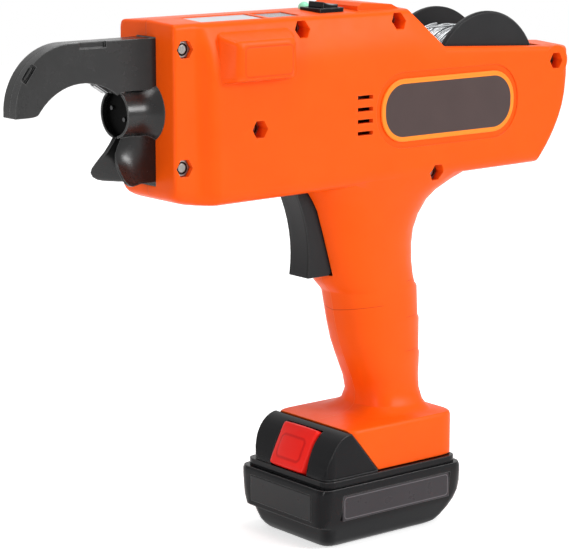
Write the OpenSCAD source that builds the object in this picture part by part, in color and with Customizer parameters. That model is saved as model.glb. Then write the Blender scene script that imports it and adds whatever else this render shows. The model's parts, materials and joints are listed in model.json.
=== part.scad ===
// Battery rebar tying tool. Millimetres. The origin is the centre of the battery's bottom face,
// +Z is up, the nose points to -X and the tool's left side is -Y.

/* [Housing] */
// Front face ahead of the origin
body_front = 108.4; // [106:0.1:112]
// Rear curve of the belly starts behind the origin
rear_curve_x = 93; // [90:0.5:95]
// Length of the rear curve
rear_curve_length = 16.5; // [15:0.5:18]
// Height of the rear curve
rear_curve_height = 38; // [36:0.5:41]
// Height of the deck
deck_z = 231.5; // [230:0.5:234]
// Height of the belly at the front
belly_z = 155.6; // [155:0.2:156.4]
// Rise of the belly to the rear
belly_rise = 2; // [1:0.5:4]
// Half width of the main body
body_half = 23; // [22.5:0.1:25]
// Half width of the front pillar
pillar_half = 18.9; // [18:0.1:20]
// Length of the front pillar
pillar_length = 10.4; // [9:0.1:12]
// Length of the ramp behind the pillar, at the deck
ramp_length = 6; // [4:0.5:8]
// Extra length of the ramp at the belly
ramp_spread = 5; // [2:0.5:8]
// Inward lean of the shoulder
shoulder_in = 4; // [2:0.5:5]
// Drop of the shoulder below the deck
shoulder_drop = 15.5; // [14:0.5:17]
// Wall of the housing
wall = 2.6; // [2:0.1:3]
// Rounding of the front edge
edge_round = 1.4; // [0.8:0.1:2]

/* [Side pads] */
// Centre of the pad behind the front face
pad_x = 39; // [37:0.5:41]
// Height of the pad's centre
pad_z = 214.9; // [212:0.1:216]
// Length of the pad's face
pad_length = 29; // [27:0.5:31]
// Height of the pad's face
pad_height = 15.2; // [12:0.2:16]
// Stand-out of the pad
pad_out = 6.5; // [5:0.5:8]

/* [Handle and foot] */
// Reference line of the grip behind the origin
grip_x = 12; // [11:0.5:13]
// Depth of the grip
grip_depth = 43; // [41:0.5:45]
// Width of the grip
grip_width = 32; // [30:0.5:34]
// Height where the grip leaves the foot
grip_low_z = 56; // [55:0.5:57]
// Height where the grip meets the body
grip_top_z = 158; // [157:0.5:159]
// Rear of the foot behind the origin
foot_rear = 41; // [40.5:0.1:42]
// Front of the foot ahead of the origin
foot_front = 22; // [21:0.5:23]
// Half width of the foot
foot_half = 26.2; // [26:0.1:26.8]
// Height of the foot's lower face
foot_low_z = 31.5; // [31.3:0.1:32]
// Height of the foot's upper edge
foot_top_z = 50.8; // [50:0.1:51.2]

/* [Twist drive] */
// Height of the twist axis
axis_z = 194.6; // [194:0.1:196]
// Radius of the twist motor
motor_radius = 17; // [16:0.1:17.5]
// Front end of the twist motor ahead of the origin
motor_front = 32; // [31:0.5:33]
// Length of the twist motor
motor_length = 48; // [44:0.5:49]
// Length of the motor's end cap
end_cap_length = 4; // [3:0.2:4.4]
// Outer radius of the gearbox
gearbox_radius = 18; // [17.8:0.1:18.4]
// Length of the gearbox
gearbox_length = 26; // [25.6:0.1:26.4]
// Module of the twist gears
twist_module = 0.7; // [0.68:0.01:0.72]
// Face width of the twist gears
twist_face = 8; // [7:0.2:8.4]
// Radius of the twist shaft
shaft_radius = 4; // [3.6:0.1:4.2]
// Radius of the twist head
head_radius = 8.5; // [8.2:0.1:8.7]
// Length of the twist head
head_length = 9; // [8:0.2:9.4]

/* [Nose] */
// Front plane of the barrel ahead of the origin
barrel_front = 124.2; // [123.6:0.1:125]
// Outer radius of the barrel
barrel_radius = 9.9; // [9.7:0.1:10.2]
// Half width of the curl guide
arm_half = 4.5; // [4.2:0.1:4.8]
// Half width of the curl guide's root
root_half = 6.6; // [6.3:0.1:6.8]
// Half width of the nose below the barrel
chin_half = 5.7; // [5.4:0.1:6]
// Radius of the bulge at the front face
bulge_radius = 12.6; // [12.2:0.1:13]
// Top of the curl guide
arm_top_z = 224.5; // [224:0.1:225]
// Centre of the outer curl ahead of the origin
curl_x = 147.4; // [146.5:0.1:148]
// Radius of the outer curl
curl_radius = 26; // [25.5:0.1:26.5]
// Centre of the inner curl ahead of the origin
mouth_x = 142; // [141.5:0.1:142.5]
// Height of the centre of the inner curl
mouth_z = 183.1; // [182.6:0.1:183.6]
// Radius of the inner curl
mouth_radius = 25.4; // [25:0.1:25.8]
// Height of the curl guide's tip
tip_z = 196.7; // [196:0.1:197.4]
// Bottom of the lips
lip_low_z = 166.2; // [165.6:0.1:167]
// Greatest half width of the lips
lip_half = 12; // [11:0.1:12.5]

/* [Wire feed] */
// Feed motor's axis behind the front face
feed_x = 24.4; // [24:0.1:25]
// Height of the feed motor's axis
feed_z = 178.5; // [178:0.1:179]
// Radius of the feed motor
feed_motor_radius = 10.6; // [10:0.1:11]
// Drive roller's axis behind the front face
roller_x = 36.4; // [36:0.1:37]
// Height of the drive roller's axis
roller_z = 210; // [209.6:0.1:210.4]
// Radius of the drive roller
roller_radius = 6; // [5.8:0.1:6.2]
// Radius of the pressure roller
presser_radius = 4.6; // [4.4:0.1:4.8]
// Module of the feed gears
feed_module = 0.8; // [0.78:0.01:0.82]
// Diameter of the tie wire
wire_d = 0.9; // [0.8:0.05:1]

/* [Reel] */
// Reel's axis behind the origin
reel_x = 63.3; // [62.8:0.1:63.8]
// Height of the reel's axis
reel_z = 195.8; // [195:0.1:197]
// Radius of the reel's flanges
reel_radius = 31.5; // [31:0.1:32]
// Half width of the reel
reel_half = 18; // [17.6:0.1:18.3]
// Thickness of a flange
flange_t = 2.2; // [1.8:0.1:2.6]
// Radius of the wound wire
winding_radius = 23; // [21:0.2:24]
// Turns in the outer layer
winding_turns = 20; // [16:1:22]
// Radius of the reel's axle pins
axle_radius = 6; // [5.6:0.1:6.4]

/* [Trigger and switch] */
// Width of the trigger
trigger_width = 13; // [12:0.2:14]
// Trigger's travel
trigger_travel = 5; // [4:0.5:6]
// Length of the rocker
rocker_length = 9; // [8:0.2:12]
// Width of the rocker
rocker_width = 10; // [9:0.2:10.6]
// Centre of the rocker ahead of the origin
rocker_x = 22.5; // [21:0.5:24]
// Gap between the switch's frame and the middle
rocker_gap = 0.2; // [0.1:0.1:0.6]

/* [Battery pack] */
// Front of the pack ahead of the origin
pack_front = 39.4; // [39:0.1:40.4]
// Rear of the pack behind the origin
pack_rear = 42.6; // [42.2:0.1:43.6]
// Half width of the pack
pack_half = 30; // [26:0.1:34]
// Half width of the pack's bottom
base_half = 22; // [21:0.5:23]
// Half length of the pack's bottom
base_length_half = 31; // [30:0.5:32]
// Height of the pack's ridge
ridge_z = 28; // [27.8:0.1:28.4]
// Half width of the front hump
hump_half = 26.3; // [25.5:0.1:26.8]
// Top of the front hump
hump_top_z = 50.2; // [49.6:0.1:50.6]
// Width of the latch button
latch_width = 23.6; // [22:0.2:24]
// Length of the latch button
latch_length = 20.4; // [19:0.2:21]
// Travel of the latch button
latch_travel = 2.5; // [2:0.1:3]
// Wall and label beside the outer cells
cell_side = 2.6; // [2.4:0.1:3.6]
// Length of a cell
cell_length = 65; // [64:0.2:66]

/* [Fasteners] */
// Radius of a case screw
screw_radius = 2; // [1.8:0.05:2.1]
// Nut width across flats
nut_width = 6.6; // [6.2:0.1:7.2]
// Nut thickness
nut_t = 3.2; // [2.6:0.1:3.4]

/* [Fits] */
// Gap between pieces that slide or turn beside each other
play = 0.4; // [0.3:0.05:0.5]
// Gap between pieces that are fixed to each other
seat = 0.1; // [0.05:0.01:0.15]
// Radial gap of a shaft in its bore
run = 0.05; // [0.03:0.01:0.08]

/* [Hidden] */
$fn = 48;
// Overrun of every cut
over = 2;
// Reach past the whole tool for clearing cuts
far = 400;
// Steps of a rounded corner, and of the coarser inside
corner_steps = 5;
inner_steps = 2;
// Share of an edge that one rounding may take
near_share = 0.48;

// Places that follow from the sizes above
front_x = -body_front;
crease_z = deck_z - shoulder_drop;
ramp_top_z = axis_z;
rear_x = rear_curve_x + rear_curve_length;
deck_round = 2.4;
crown_drop = 1;
crown_angle = atan(crown_drop / (body_half - shoulder_in));
crease_round = 7;
belly_round = 6;
belly_corner_length = 22;
belly_corner_height = 6;
// The slope in front of the reel, and the walls beside it
slope_x = 16.5;
slope_length = 18.5;
bay_wall_z = 214.4;
bay_wall_fall = 4;
bay_gap = 1.8;
bay_wall = 3;
// The rear wall swells past the side walls
swell_in = 8;
swell_x = rear_x - swell_in;
swell_length = 11;
swell_power = 5;
swell_end_share = 0.97;
rear_end_share = 0.985;
// Share of a quarter round where the rear curve starts, so that it meets the belly at a corner
rear_start_share = 0.85;

function ease(t) = let (u = max(0, min(1, t))) u * u * (3 - 2 * u);
function mix(a, b, t) = a + (b - a) * t;
function clamp(t) = max(0, min(1, t));
function arc(cx, cz, r, from, to, steps) =
    [for (i = [0:steps]) let (a = mix(from, to, i / steps)) [cx + r * cos(a), cz + r * sin(a)]];
function corner(a, b, c, reach, steps) =
    let (p = b + (a - b) * min(reach / norm(a - b), near_share),
        q = b + (c - b) * min(reach / norm(c - b), near_share))
    [for (i = [0:steps]) let (t = i / steps) p * pow(1 - t, 2) + b * 2 * t * (1 - t) + q * t * t];
function rounded(points, reach, steps) =
    let (n = len(points))
    [for (i = [0:n - 1])
        each corner(points[(i + n - 1) % n], points[i], points[(i + 1) % n], reach, steps)];

// A solid through a row of rings, each with the same number of points
module loft(rings, flip = false) {
    n = len(rings[0]);
    m = len(rings);
    sides = [for (i = [0:m - 2], j = [0:n - 1])
        each let (a = i * n + j, b = i * n + (j + 1) % n)
        [[a, b + n, b], [a, a + n, b + n]]];
    faces = concat(sides, [[for (j = [0:n - 1]) j]], [[for (j = [n - 1:-1:0]) (m - 1) * n + j]]);
    polyhedron([for (r = rings) each r],
        flip ? [for (f = faces) [for (k = [len(f) - 1:-1:0]) f[k]]] : faces, convexity = 8);
}

// Turning bodies along each axis, and flat outlines pushed out along Y or X
module along_x(x, y, z) { translate([x, y, z]) rotate([0, 90, 0]) children(); }
module along_y(x, y, z) { translate([x, y, z]) rotate([-90, 0, 0]) children(); }
module rod_x(x, y, z, r, h) { along_x(x, y, z) cylinder(r = r, h = h); }
module rod_y(x, y, z, r, h) { along_y(x, y, z) cylinder(r = r, h = h); }
module side_prism(points, y, width) {
    translate([0, y + width, 0]) rotate([90, 0, 0]) linear_extrude(width) polygon(points);
}
module front_prism(x, length) {
    translate([x, 0, 0]) rotate([90, 0, 90]) linear_extrude(length) children();
}
module block(x, y, z, dx, dy, dz) { translate([x, y, z]) cube([dx, dy, dz]); }
module left_half() { intersection() { children(); block(-far, -far, -far, 2 * far, far, 2 * far); } }

// Outline of the body
function deck_at(x) = x < slope_x ? deck_z
    : mix(mix(deck_z, bay_wall_z, clamp((x - slope_x) / slope_length)),
        bay_wall_z - bay_wall_fall, clamp((x - slope_x - slope_length) / (rear_x - slope_x - slope_length)));
function belly_line(x) = belly_z + belly_rise * (x - front_x) / (rear_x - front_x);
function belly_at(x) = let (f = clamp((front_x + belly_corner_length - x) / belly_corner_length),
        r = min(clamp((x - rear_curve_x) / rear_curve_length), rear_end_share))
    belly_line(x) + belly_corner_height * (1 - sqrt(1 - f * f))
        + rear_curve_height * rear_rise(r);
function quarter(t) = 1 - sqrt(1 - t * t);
function rear_rise(r) = let (low = quarter(rear_start_share))
    (quarter(mix(rear_start_share, 1, r)) - low) / (1 - low);
function half_at(x, z) =
    let (ramp = ramp_length + ramp_spread * clamp((ramp_top_z - z) / (ramp_top_z - belly_z)),
        u = max(0, (x - swell_x) / swell_length))
    mix(pillar_half, body_half, ease((x - front_x - pillar_length) / ramp))
        * pow(1 - pow(u, swell_power), 1 / swell_power);
function edge_inset(x) = let (d = max(0, edge_round - (x - front_x)))
    edge_round - sqrt(edge_round * edge_round - d * d);
function body_ring(x, inset, steps) =
    let (e = inset + edge_inset(x), top = deck_at(x) - e, low = belly_at(x) + e,
        crease = min(crease_z, top - crease_round),
        side = half_at(x, crease) - e, foot = half_at(x, low) - e,
        lean = shoulder_in * clamp((deck_at(x) - crease_z) / shoulder_drop)
            * clamp((half_at(x, crease) - pillar_half) / (body_half - pillar_half)) + seat,
        a = [0, top], b = [side - lean, top - crown_drop], c = [side, crease], d = [foot, low], f = [0, low])
    [for (p = concat([a], corner(a, b, c, deck_round, steps), corner(b, c, d, crease_round, steps),
        corner(c, d, f, belly_round, steps), [f])) [x, -p[0], p[1]]];

// Stations along the body, close together where the outline bends
front_stations = 3;
ramp_stations = 10;
ramp_end = pillar_length + ramp_length + ramp_spread;
rear_stations = 12;
outer_stations = concat(
    [for (i = [0:front_stations]) front_x + edge_round * (1 - cos(90 * i / front_stations))],
    [for (i = [1:ramp_stations]) mix(front_x + edge_round, front_x + ramp_end, i / ramp_stations)],
    [slope_x, slope_x + slope_length, rear_curve_x],
    [for (i = [1:rear_stations]) mix(rear_curve_x, swell_x + swell_length * swell_end_share,
        sin(90 * i / rear_stations))]);
inner_ramp_stations = 4;
inner_end_x = reel_x - reel_radius - bay_gap - bay_wall;
inner_stations = concat([front_x + wall],
    [for (i = [0:inner_ramp_stations])
        mix(front_x + pillar_length, front_x + ramp_end, i / inner_ramp_stations)],
    [slope_x, inner_end_x]);

module body_outside() { loft([for (x = outer_stations) body_ring(x, 0, corner_steps)]); }
module body_inside() { loft([for (x = inner_stations) body_ring(x, wall, inner_steps)]); }

// Grip and foot: height, front, rear and half width of each ring, and the squareness of its outline
foot_shares = [[0, 1.04, 1, 1, 9], [0.9, 1.04, 1, 1, 9], [0.97, 1.03, 0.995, 0.985, 9], [1, 1.01, 0.98, 0.965, 9]];
grip_shares = [[-0.045, -0.4, 0.56, 0.64, 4.2], [-0.03, -0.28, 0.548, 0.57, 3.6], [-0.01, -0.22, 0.54, 0.51, 3],
    [0.04, -0.205, 0.53, 0.465, 2.6], [0.1, -0.25, 0.535, 0.455, 2.5], [0.2, -0.355, 0.55, 0.47, 2.5],
    [0.21, -0.365, 0.538, 0.47, 2.5], [0.28, -0.43, 0.538, 0.48, 2.5], [0.355, -0.475, 0.538, 0.49, 2.5],
    [0.365, -0.48, 0.52, 0.49, 2.5], [0.5, -0.545, 0.502, 0.5, 2.5], [0.51, -0.56, 0.476, 0.5, 2.5],
    [0.55, -0.65, 0.45, 0.505, 2.5], [0.61, -0.69, 0.425, 0.515, 2.5], [0.69, -0.745, 0.417, 0.53, 2.5],
    [0.755, -0.79, 0.44, 0.54, 2.5], [0.82, -0.835, 0.5, 0.56, 2.6], [0.88, -0.875, 0.6, 0.59, 2.7],
    [0.92, -0.92, 0.715, 0.62, 2.9], [0.96, -0.985, 0.9, 0.655, 3.2], [1, -1.08, 1.13, 0.69, 3.6],
    [1.06, -1.1, 1.25, 0.7, 4]];
grip_steps = 14;
function oval_half(z, front, rear, half, power, inset) =
    [for (i = [0:grip_steps]) let (t = 180 * i / grip_steps, c = cos(t), s = sin(t),
        a = (rear - front) / 2 - inset, b = half - inset)
        [(front + rear) / 2 + a * sign(c) * pow(abs(c), 2 / power), -b * pow(s, 2 / power), z]];
function foot_ring(s, inset) = oval_half(mix(foot_low_z, foot_top_z, s[0]), -foot_front * s[1],
    foot_rear * s[2], foot_half * s[3], s[4], inset);
function grip_ring(s, inset) = oval_half(mix(grip_low_z, grip_top_z, s[0]), grip_x + grip_depth * s[1],
    grip_x + grip_depth * s[2], grip_width * s[3], s[4], inset);
grip_hollow_first = 3;
grip_hollow_step = 2;
module grip_outside() {
    loft(concat([for (s = foot_shares) foot_ring(s, 0)], [for (s = grip_shares) grip_ring(s, 0)]), true);
}
module grip_inside() {
    loft([for (i = [grip_hollow_first:grip_hollow_step:len(grip_shares) - 1]) grip_ring(grip_shares[i], wall)], true);
}

// Raised pad over the feed rollers, with drafted sides and a sloping top
pad_draft = 4.4;
pad_low_draft = 1.4;
pad_top_draft = 2.6;
pad_round = 2.4;
pad_sink = 6;
pad_middle_x = front_x + pad_x;
module pad_solid(inset) {
    face_half = pad_length / 2 - inset;
    up = pad_height / 2 - inset;
    wide = face_half + pad_draft;
    outline = function (dx, top, low) rounded([[-dx, low], [dx, low], [dx, top], [-dx, top]], pad_round, 3);
    out = body_half + pad_out - inset;
    loft([for (r = [[body_half - pad_sink, wide, up + 2 * pad_top_draft, -up - pad_low_draft],
            [body_half, wide, up + pad_top_draft, -up - pad_low_draft],
            [out - pad_round / 2, face_half + pad_draft / 4, up + pad_top_draft / 4, -up - pad_low_draft / 4],
            [out, face_half - pad_round / 2, up - pad_round / 2, -up + pad_round / 2]])
        [for (p = outline(r[1], r[2], r[3])) [pad_middle_x + p[0], -r[0], pad_z + p[1]]]]);
}

// Hump on the deck behind the rocker
hump_x = -9;
hump_length = 38;
hump_height = 2.6;
hump_deck_half = 14.5;
hump_fall = 3.5;
module deck_hump() {
    side_prism([[hump_x, deck_z - wall], [hump_x, deck_z + hump_height * near_share],
        [hump_x + hump_height, deck_z + hump_height], [hump_x + hump_length / 2, deck_z + hump_height / 2],
        [hump_x + hump_length - hump_fall, deck_z - hump_fall - hump_height],
        [hump_x + hump_length - hump_fall, deck_z - 3 * hump_fall]], -hump_deck_half, hump_deck_half);
}

// Case screws: place, depth of the nut's seat and depth of the head's seat
screw_sink = 4;
nut_sink = 5.2;
nut_deep_sink = 8.6;
deep_sink = 9;
pocket_play = 0.4;
pocket_width = nut_width + pocket_play;
pillar_seat = pillar_half - screw_sink;
pillar_nut_seat = pillar_half - nut_sink;
body_seat = body_half - screw_sink;
body_nut_seat = body_half - nut_deep_sink;
shoulder_seat = body_half - shoulder_in - screw_sink;
shoulder_nut_seat = body_half - shoulder_in - nut_deep_sink;
deep_seat = body_half - deep_sink;
pillar_top_in = 5.6;
pillar_top_drop = 11.1;
pillar_low_in = 5;
pillar_low_rise = 17.1;
pillar_top_x = front_x + pillar_top_in;
pillar_top_z = deck_z - pillar_top_drop;
pillar_low_x = front_x + pillar_low_in;
pillar_low_z = belly_z + pillar_low_rise;
deck_front_x = -43.8;
deck_front_drop = 6.2;
deck_front_z = deck_z - deck_front_drop;
deck_rear_x = 9.4;
deck_rear_drop = 5.6;
deck_rear_z = deck_z - deck_rear_drop;
rear_screw_in = 7.4;
rear_screw_drop = 7.1;
rear_screw_x = rear_x - rear_screw_in;
rear_screw_z = bay_wall_z - bay_wall_fall - rear_screw_drop;
grip_screw_back = 18.8;
grip_screw_rise = 0.8;
grip_screw_x = grip_x + grip_screw_back;
grip_screw_z = grip_top_z + grip_screw_rise;
middle_screw_in = 40.4;
middle_screw_drop = 8.6;
middle_screw_x = front_x + middle_screw_in;
middle_screw_z = axis_z - middle_screw_drop;
screws = [[pillar_top_x, pillar_top_z, pillar_nut_seat, pillar_seat],
    [pillar_low_x, pillar_low_z, pillar_nut_seat, pillar_seat],
    [deck_front_x, deck_front_z, shoulder_nut_seat, shoulder_seat],
    [deck_rear_x, deck_rear_z, shoulder_nut_seat, shoulder_seat],
    [rear_screw_x, rear_screw_z, body_nut_seat, body_seat], [grip_screw_x, grip_screw_z, body_nut_seat, body_seat],
    [middle_screw_x, middle_screw_z, deep_seat, body_seat]];
pocket_boss = pocket_width / 2 + wall;
pocket_floor = 1.6;
boss_wall = 2.2;
boss_radius = screw_radius + boss_wall;
head_seat_radius = 2 * screw_radius;
rear_boss_radius = 7;
rear_boss_depth = 8;
module at_screws() { for (s = screws) along_y(s[0], 0, s[1]) children(); }

// Ribs across the inside that carry the gearbox and the motor
rib_t = 2.4;
gearbox_front_x = -motor_front - gearbox_length;
rib_places = [[gearbox_front_x + gearbox_length / 4, gearbox_radius], [-motor_front + 4 * rib_t, motor_radius],
    [-motor_front + motor_length - 3 * rib_t, motor_radius]];
wire_hole = 2;
module ribs() {
    for (p = rib_places) difference() {
        block(p[0], -far, belly_z, rib_t, far, far);
        rod_x(p[0] - over, 0, axis_z, p[1] + seat, rib_t + 2 * over);
        rod_x(p[0] - over, 0, wire_z_at(p[0]), wire_hole, rib_t + 2 * over);
        block(p[0] - over, -lead_slot, belly_z - over, rib_t + 2 * over, far, board_z - belly_z + 3 * over);
    }
}
lead_slot = 9;

// Reel bay
bay_side_gap = 1.2;
bay_half = reel_half + bay_side_gap;
module bay() {
    along_y(reel_x, -bay_half, reel_z) cylinder(r = reel_radius + bay_gap, h = bay_half + over, $fn = 96);
    block(reel_x - reel_radius - bay_gap, -bay_half, reel_z, 2 * (reel_radius + bay_gap), bay_half + over, far);
}

// Nose outline in the front face
nose_top_rise = 0.3;
nose_low_drop = 1.8;
nose_neck_drop = 3;
nose_top_z = arm_top_z + nose_top_rise;
nose_low_z = lip_low_z - nose_low_drop;
nose_neck_z = axis_z - nose_neck_drop;
module nose_outline(grow) {
    translate([-root_half - grow, nose_neck_z])
        square([2 * (root_half + grow), nose_top_z + grow - nose_neck_z]);
    translate([-chin_half - grow, nose_low_z - grow])
        square([2 * (chin_half + grow), axis_z - nose_low_z + grow]);
    translate([0, axis_z]) circle(r = bulge_radius + grow);
}
flange_gap = 3.2;
nose_flange = 2;
nose_flange_t = 3;
nose_back_x = front_x + flange_gap + nose_flange_t;

// Nameplate
plate_x = 36.5;
plate_z = 187.8;
plate_length = 78;
plate_height = 27.2;
plate_round = 12.6;
plate_depth = 0.6;
plate_t = 1;
plate_border = 2.8;
module plate_outline(grow) {
    hx = plate_length / 2 + grow;
    hz = plate_height / 2 + grow;
    r = plate_round + grow;
    polygon([for (q = [[1, 1, 0], [-1, 1, 90], [-1, -1, 180], [1, -1, 270]])
        each arc(plate_x + q[0] * (hx - r), plate_z + q[1] * (hz - r), r, q[2], q[2] + 90, 8)]);
}

// Vents
vent_count = 4;
vent_x = -15.7;
vent_z = 179.7;
vent_pitch = 5.1;
vent_length = 8.5;
vent_height = 1.7;

// Deck plates and the switch
label_in = 15.9;
label_x = front_x + label_in;
label_length = 32.5;
label_off = 1.2;
label_width = 15;
window_gap = 2.6;
window_x = label_x + label_length + window_gap;
window_length = 16.4;
window_off = 2;
window_width = 13.4;
deck_recess = 0.9;
deck_plate_t = 0.5;
frame_margin = 1.4;
rocker_y = rocker_width / 2 + play + frame_margin + rocker_gap;
switch_depth = 9;
light_radius = 2.6;
light_x = -22;
light_y = 5.4;
light_height = 3;

// Trigger opening
trigger_slot_rise = 60.4;
trigger_slot_low = grip_low_z + trigger_slot_rise;
trigger_slot_rear = 6;
trigger_half = trigger_width / 2;

// Foot's slide and its slanted front
slant_top_out = 0.4;
slant_top_x = -foot_front - slant_top_out;
slant_low_x = -5.2;
slide_stem_half = 16;
slide_flange_half = 19;
slide_lip_height = 5;
slide_height = 7;
slide_lip_z = foot_low_z + slide_lip_height;
slide_top_z = slide_lip_z + slide_height;
slide_rear_in = 5.7;
slide_rear_x = foot_rear - slide_rear_in;

// Plates on the deck, which falls from the middle to each side
module deck_block(x, off, length, width, grow, high) {
    translate([0, 0, deck_z]) rotate([crown_angle, 0, 0])
        block(x - grow, -off - width - grow, -deck_recess, length + 2 * grow, width + 2 * grow, high);
}
module deck_label_block(grow, high) { deck_block(label_x, label_off, label_length, label_width, grow, high); }
module deck_window_block(grow, high) { deck_block(window_x, window_off, window_length, window_width, grow, high); }

module half_shell(nut_side) {
    difference() {
        union() {
            body_outside();
            grip_outside();
            pad_solid(0);
            deck_hump();
            rod_y(rear_screw_x, -body_half, rear_screw_z, rear_boss_radius, rear_boss_depth);
        }
        difference() {
            union() { body_inside(); grip_inside(); }
            ribs();
            at_screws() translate([0, 0, -far]) cylinder(r = boss_radius, h = far);
            for (s = screws) rod_y(s[0], -far, s[1], pocket_boss, far - s[nut_side ? 2 : 3] + pocket_floor);
            along_y(reel_x, -far, reel_z)
                cylinder(r = reel_radius + bay_gap + bay_wall, h = far + over, $fn = 96);
        }
        pad_solid(wall);
        bay();
        at_screws() translate([0, 0, -far]) cylinder(r = screw_radius + seat, h = far + over);
        for (s = screws) along_y(s[0], -far, s[1])
            if (nut_side) cylinder(d = pocket_width / cos(30), h = far - s[2], $fn = 6);
            else cylinder(r = head_seat_radius + play, h = far - s[3]);
        front_prism(front_x - over, wall + 3 * over) nose_outline(seat);
        front_prism(front_x + flange_gap - seat, nose_flange_t + over) nose_outline(nose_flange + seat);
        for (i = [0:vent_count - 1])
            block(vent_x, -far, vent_z + i * vent_pitch - vent_height / 2, vent_length, far - body_half / 2,
                vent_height);
        if (nut_side) {
            deck_label_block(seat, far);
            deck_window_block(seat, far);
            switch_hole();
            plate_recess();
        } else {
            mirror([0, 1, 0]) light_hole();
            rod_y(reel_x, -far, reel_z, axle_radius + play / 2, far);
        }
        trigger_hole();
        foot_slide();
        rod_x(tube_x - seat, 0, tube_z, tube_radius + seat, tube_length + over);
        lead_hole();
    }
}
module plate_recess() {
    translate([0, -body_half + plate_depth, 0]) rotate([90, 0, 0]) linear_extrude(far) plate_outline(plate_border);
}
module rocker_block(grow, z, high) {
    block(-rocker_x - rocker_length / 2 - grow, -rocker_y - rocker_width / 2 - grow, z, rocker_length + 2 * grow,
        rocker_width + 2 * grow, high);
}
module switch_hole() {
    rocker_block(play + frame_margin / 2, deck_z - switch_depth - seat, far);
    rocker_block(play + frame_margin + seat, deck_z - crown_drop - seat, far);
}
module light_hole() { translate([light_x, light_y, deck_z - 2 * wall]) cylinder(r = light_radius + seat, h = far); }
module trigger_hole() {
    block(trigger_front_top - over, -trigger_half - play, trigger_slot_low - play,
        -trigger_slot_rear - trigger_front_top + over, far, belly_z - trigger_slot_low + wall + play);
}
module foot_slide() {
    block(-far, -slide_stem_half - play, foot_low_z - over, far + slide_rear_x, far, slide_top_z - foot_low_z
        + over);
    block(-far, -slide_flange_half - play, slide_lip_z, far + slide_rear_x, far, slide_top_z - slide_lip_z);
    side_prism([[-far, foot_low_z - over], [slant_low_x, foot_low_z - over], [slant_low_x, foot_low_z],
        [slant_top_x, foot_top_z + over], [-far, foot_top_z + over]], -far, 2 * far);
}
lead_radius = 5;
module lead_hole() {
    translate([grip_x + wall, 0, slide_top_z - over]) cylinder(r = lead_radius, h = grip_low_z - slide_top_z + 4 * over);
}
module left_housing() { color("#F5601C") half_shell(true); }
module right_housing() { color("#F5601C") mirror([0, 1, 0]) half_shell(false); }

// Fasteners
module case_screws() {
    color("#B8BABD") for (s = screws) {
        rod_y(s[0], -s[2] - nut_t, s[1], screw_radius, s[2] + s[3] + nut_t);
        rod_y(s[0], s[3], s[1], head_seat_radius, nut_t);
    }
}
module case_nuts() {
    color("#C9CBCE") for (s = screws) along_y(s[0], -s[2] - nut_t, s[1]) difference() {
        cylinder(d = nut_width / cos(30), h = nut_t, $fn = 6);
        translate([0, 0, -over]) cylinder(r = screw_radius + run, h = nut_t + 2 * over);
    }
}
module nameplate() {
    color("#64504E") translate([0, -body_half + plate_depth, 0]) rotate([90, 0, 0])
        linear_extrude(plate_t) plate_outline(0);
}
module deck_label() {
    color("#C9CCD0") deck_label_block(0, deck_plate_t);
}
module deck_window() {
    color("#8E9499") deck_window_block(0, deck_plate_t);
}

// Rocker switch: a frame in the deck and a rocker that tilts about Y
rocker_tilt = 9;
rocker_pin_radius = 1.2;
rocker_pin_drop = 3;
rocker_rise = 3.2;
rocker_pin_z = deck_z - rocker_pin_drop;
frame_lip = 1.2;
module switch_frame() {
    color("#1D1D20") difference() {
        union() {
            rocker_block(play + frame_margin / 2 - seat, deck_z - switch_depth, switch_depth);
            rocker_block(play + frame_margin, deck_z - crown_drop, crown_drop + frame_lip);
        }
        rocker_block(play, deck_z - switch_depth + frame_margin, far);
        rod_y(-rocker_x, -rocker_y - rocker_width, rocker_pin_z, rocker_pin_radius + run, 2 * rocker_width);
    }
}
module power_rocker() {
    half = rocker_length / 2 - play;
    color("#141416") translate([-rocker_x, -rocker_y, rocker_pin_z]) {
        rotate([0, rocker_tilt, 0]) translate([0, rocker_width / 2, 0]) rotate([90, 0, 0])
            linear_extrude(rocker_width) polygon(concat([[half * near_share, -rocker_pin_drop],
            [half, rocker_pin_drop]], [for (i = [0:6]) let (t = i / 6) [mix(half, -half, t),
            rocker_pin_drop + rocker_rise - rocker_rise * 4 * near_share * near_share * t * (1 - t)]],
            [[-half, rocker_pin_drop], [-half * near_share, -rocker_pin_drop]]));
        translate([0, rocker_width / 2 + play + frame_margin / 2, 0]) rotate([90, 0, 0])
            cylinder(r = rocker_pin_radius, h = rocker_width + 2 * play + frame_margin);
    }
}
module status_light() {
    color("#7FE8C0") translate([light_x, light_y, deck_z - 2 * wall]) {
        cylinder(r = light_radius, h = 2 * wall);
        translate([0, 0, 2 * wall]) intersection() {
            sphere(r = light_radius);
            cylinder(r = light_radius, h = light_height);
        }
    }
}

// Trigger: slides back into the grip
trigger_front_top = -36;
trigger_front_low = -29.3;
trigger_deep = 3.2;
trigger_low_z = trigger_slot_low;
trigger_top_z = belly_z - play;
trigger_neck = 14;
trigger_round = 2.5;
switch_x = -8.4;
module trigger_outline() {
    steps = 8;
    face = [for (i = [0:steps]) let (t = i / steps) [mix(trigger_front_low, trigger_front_top, t)
        + trigger_deep * 4 * t * (1 - t), mix(trigger_low_z, trigger_top_z, t)]];
    polygon(concat([[trigger_front_low + trigger_neck, trigger_low_z + trigger_round]],
        [[trigger_front_low + trigger_neck - trigger_round, trigger_low_z]],
        face,
        [[trigger_front_top + trigger_neck, trigger_top_z]]));
}
spring_share = 0.35;
spring_z = mix(trigger_low_z, trigger_top_z, spring_share);
spring_radius = 3;
spring_pocket = 4;
module trigger() {
    color("#3A3A3C") difference() {
        translate([0, trigger_half, 0]) rotate([90, 0, 0]) linear_extrude(trigger_width) trigger_outline();
        rod_x(switch_x - trigger_travel - spring_pocket - trigger_deep, 0, spring_z, spring_radius + play, far);
    }
}
switch_length = 20;
switch_height = 24;
switch_half = 8;
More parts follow.
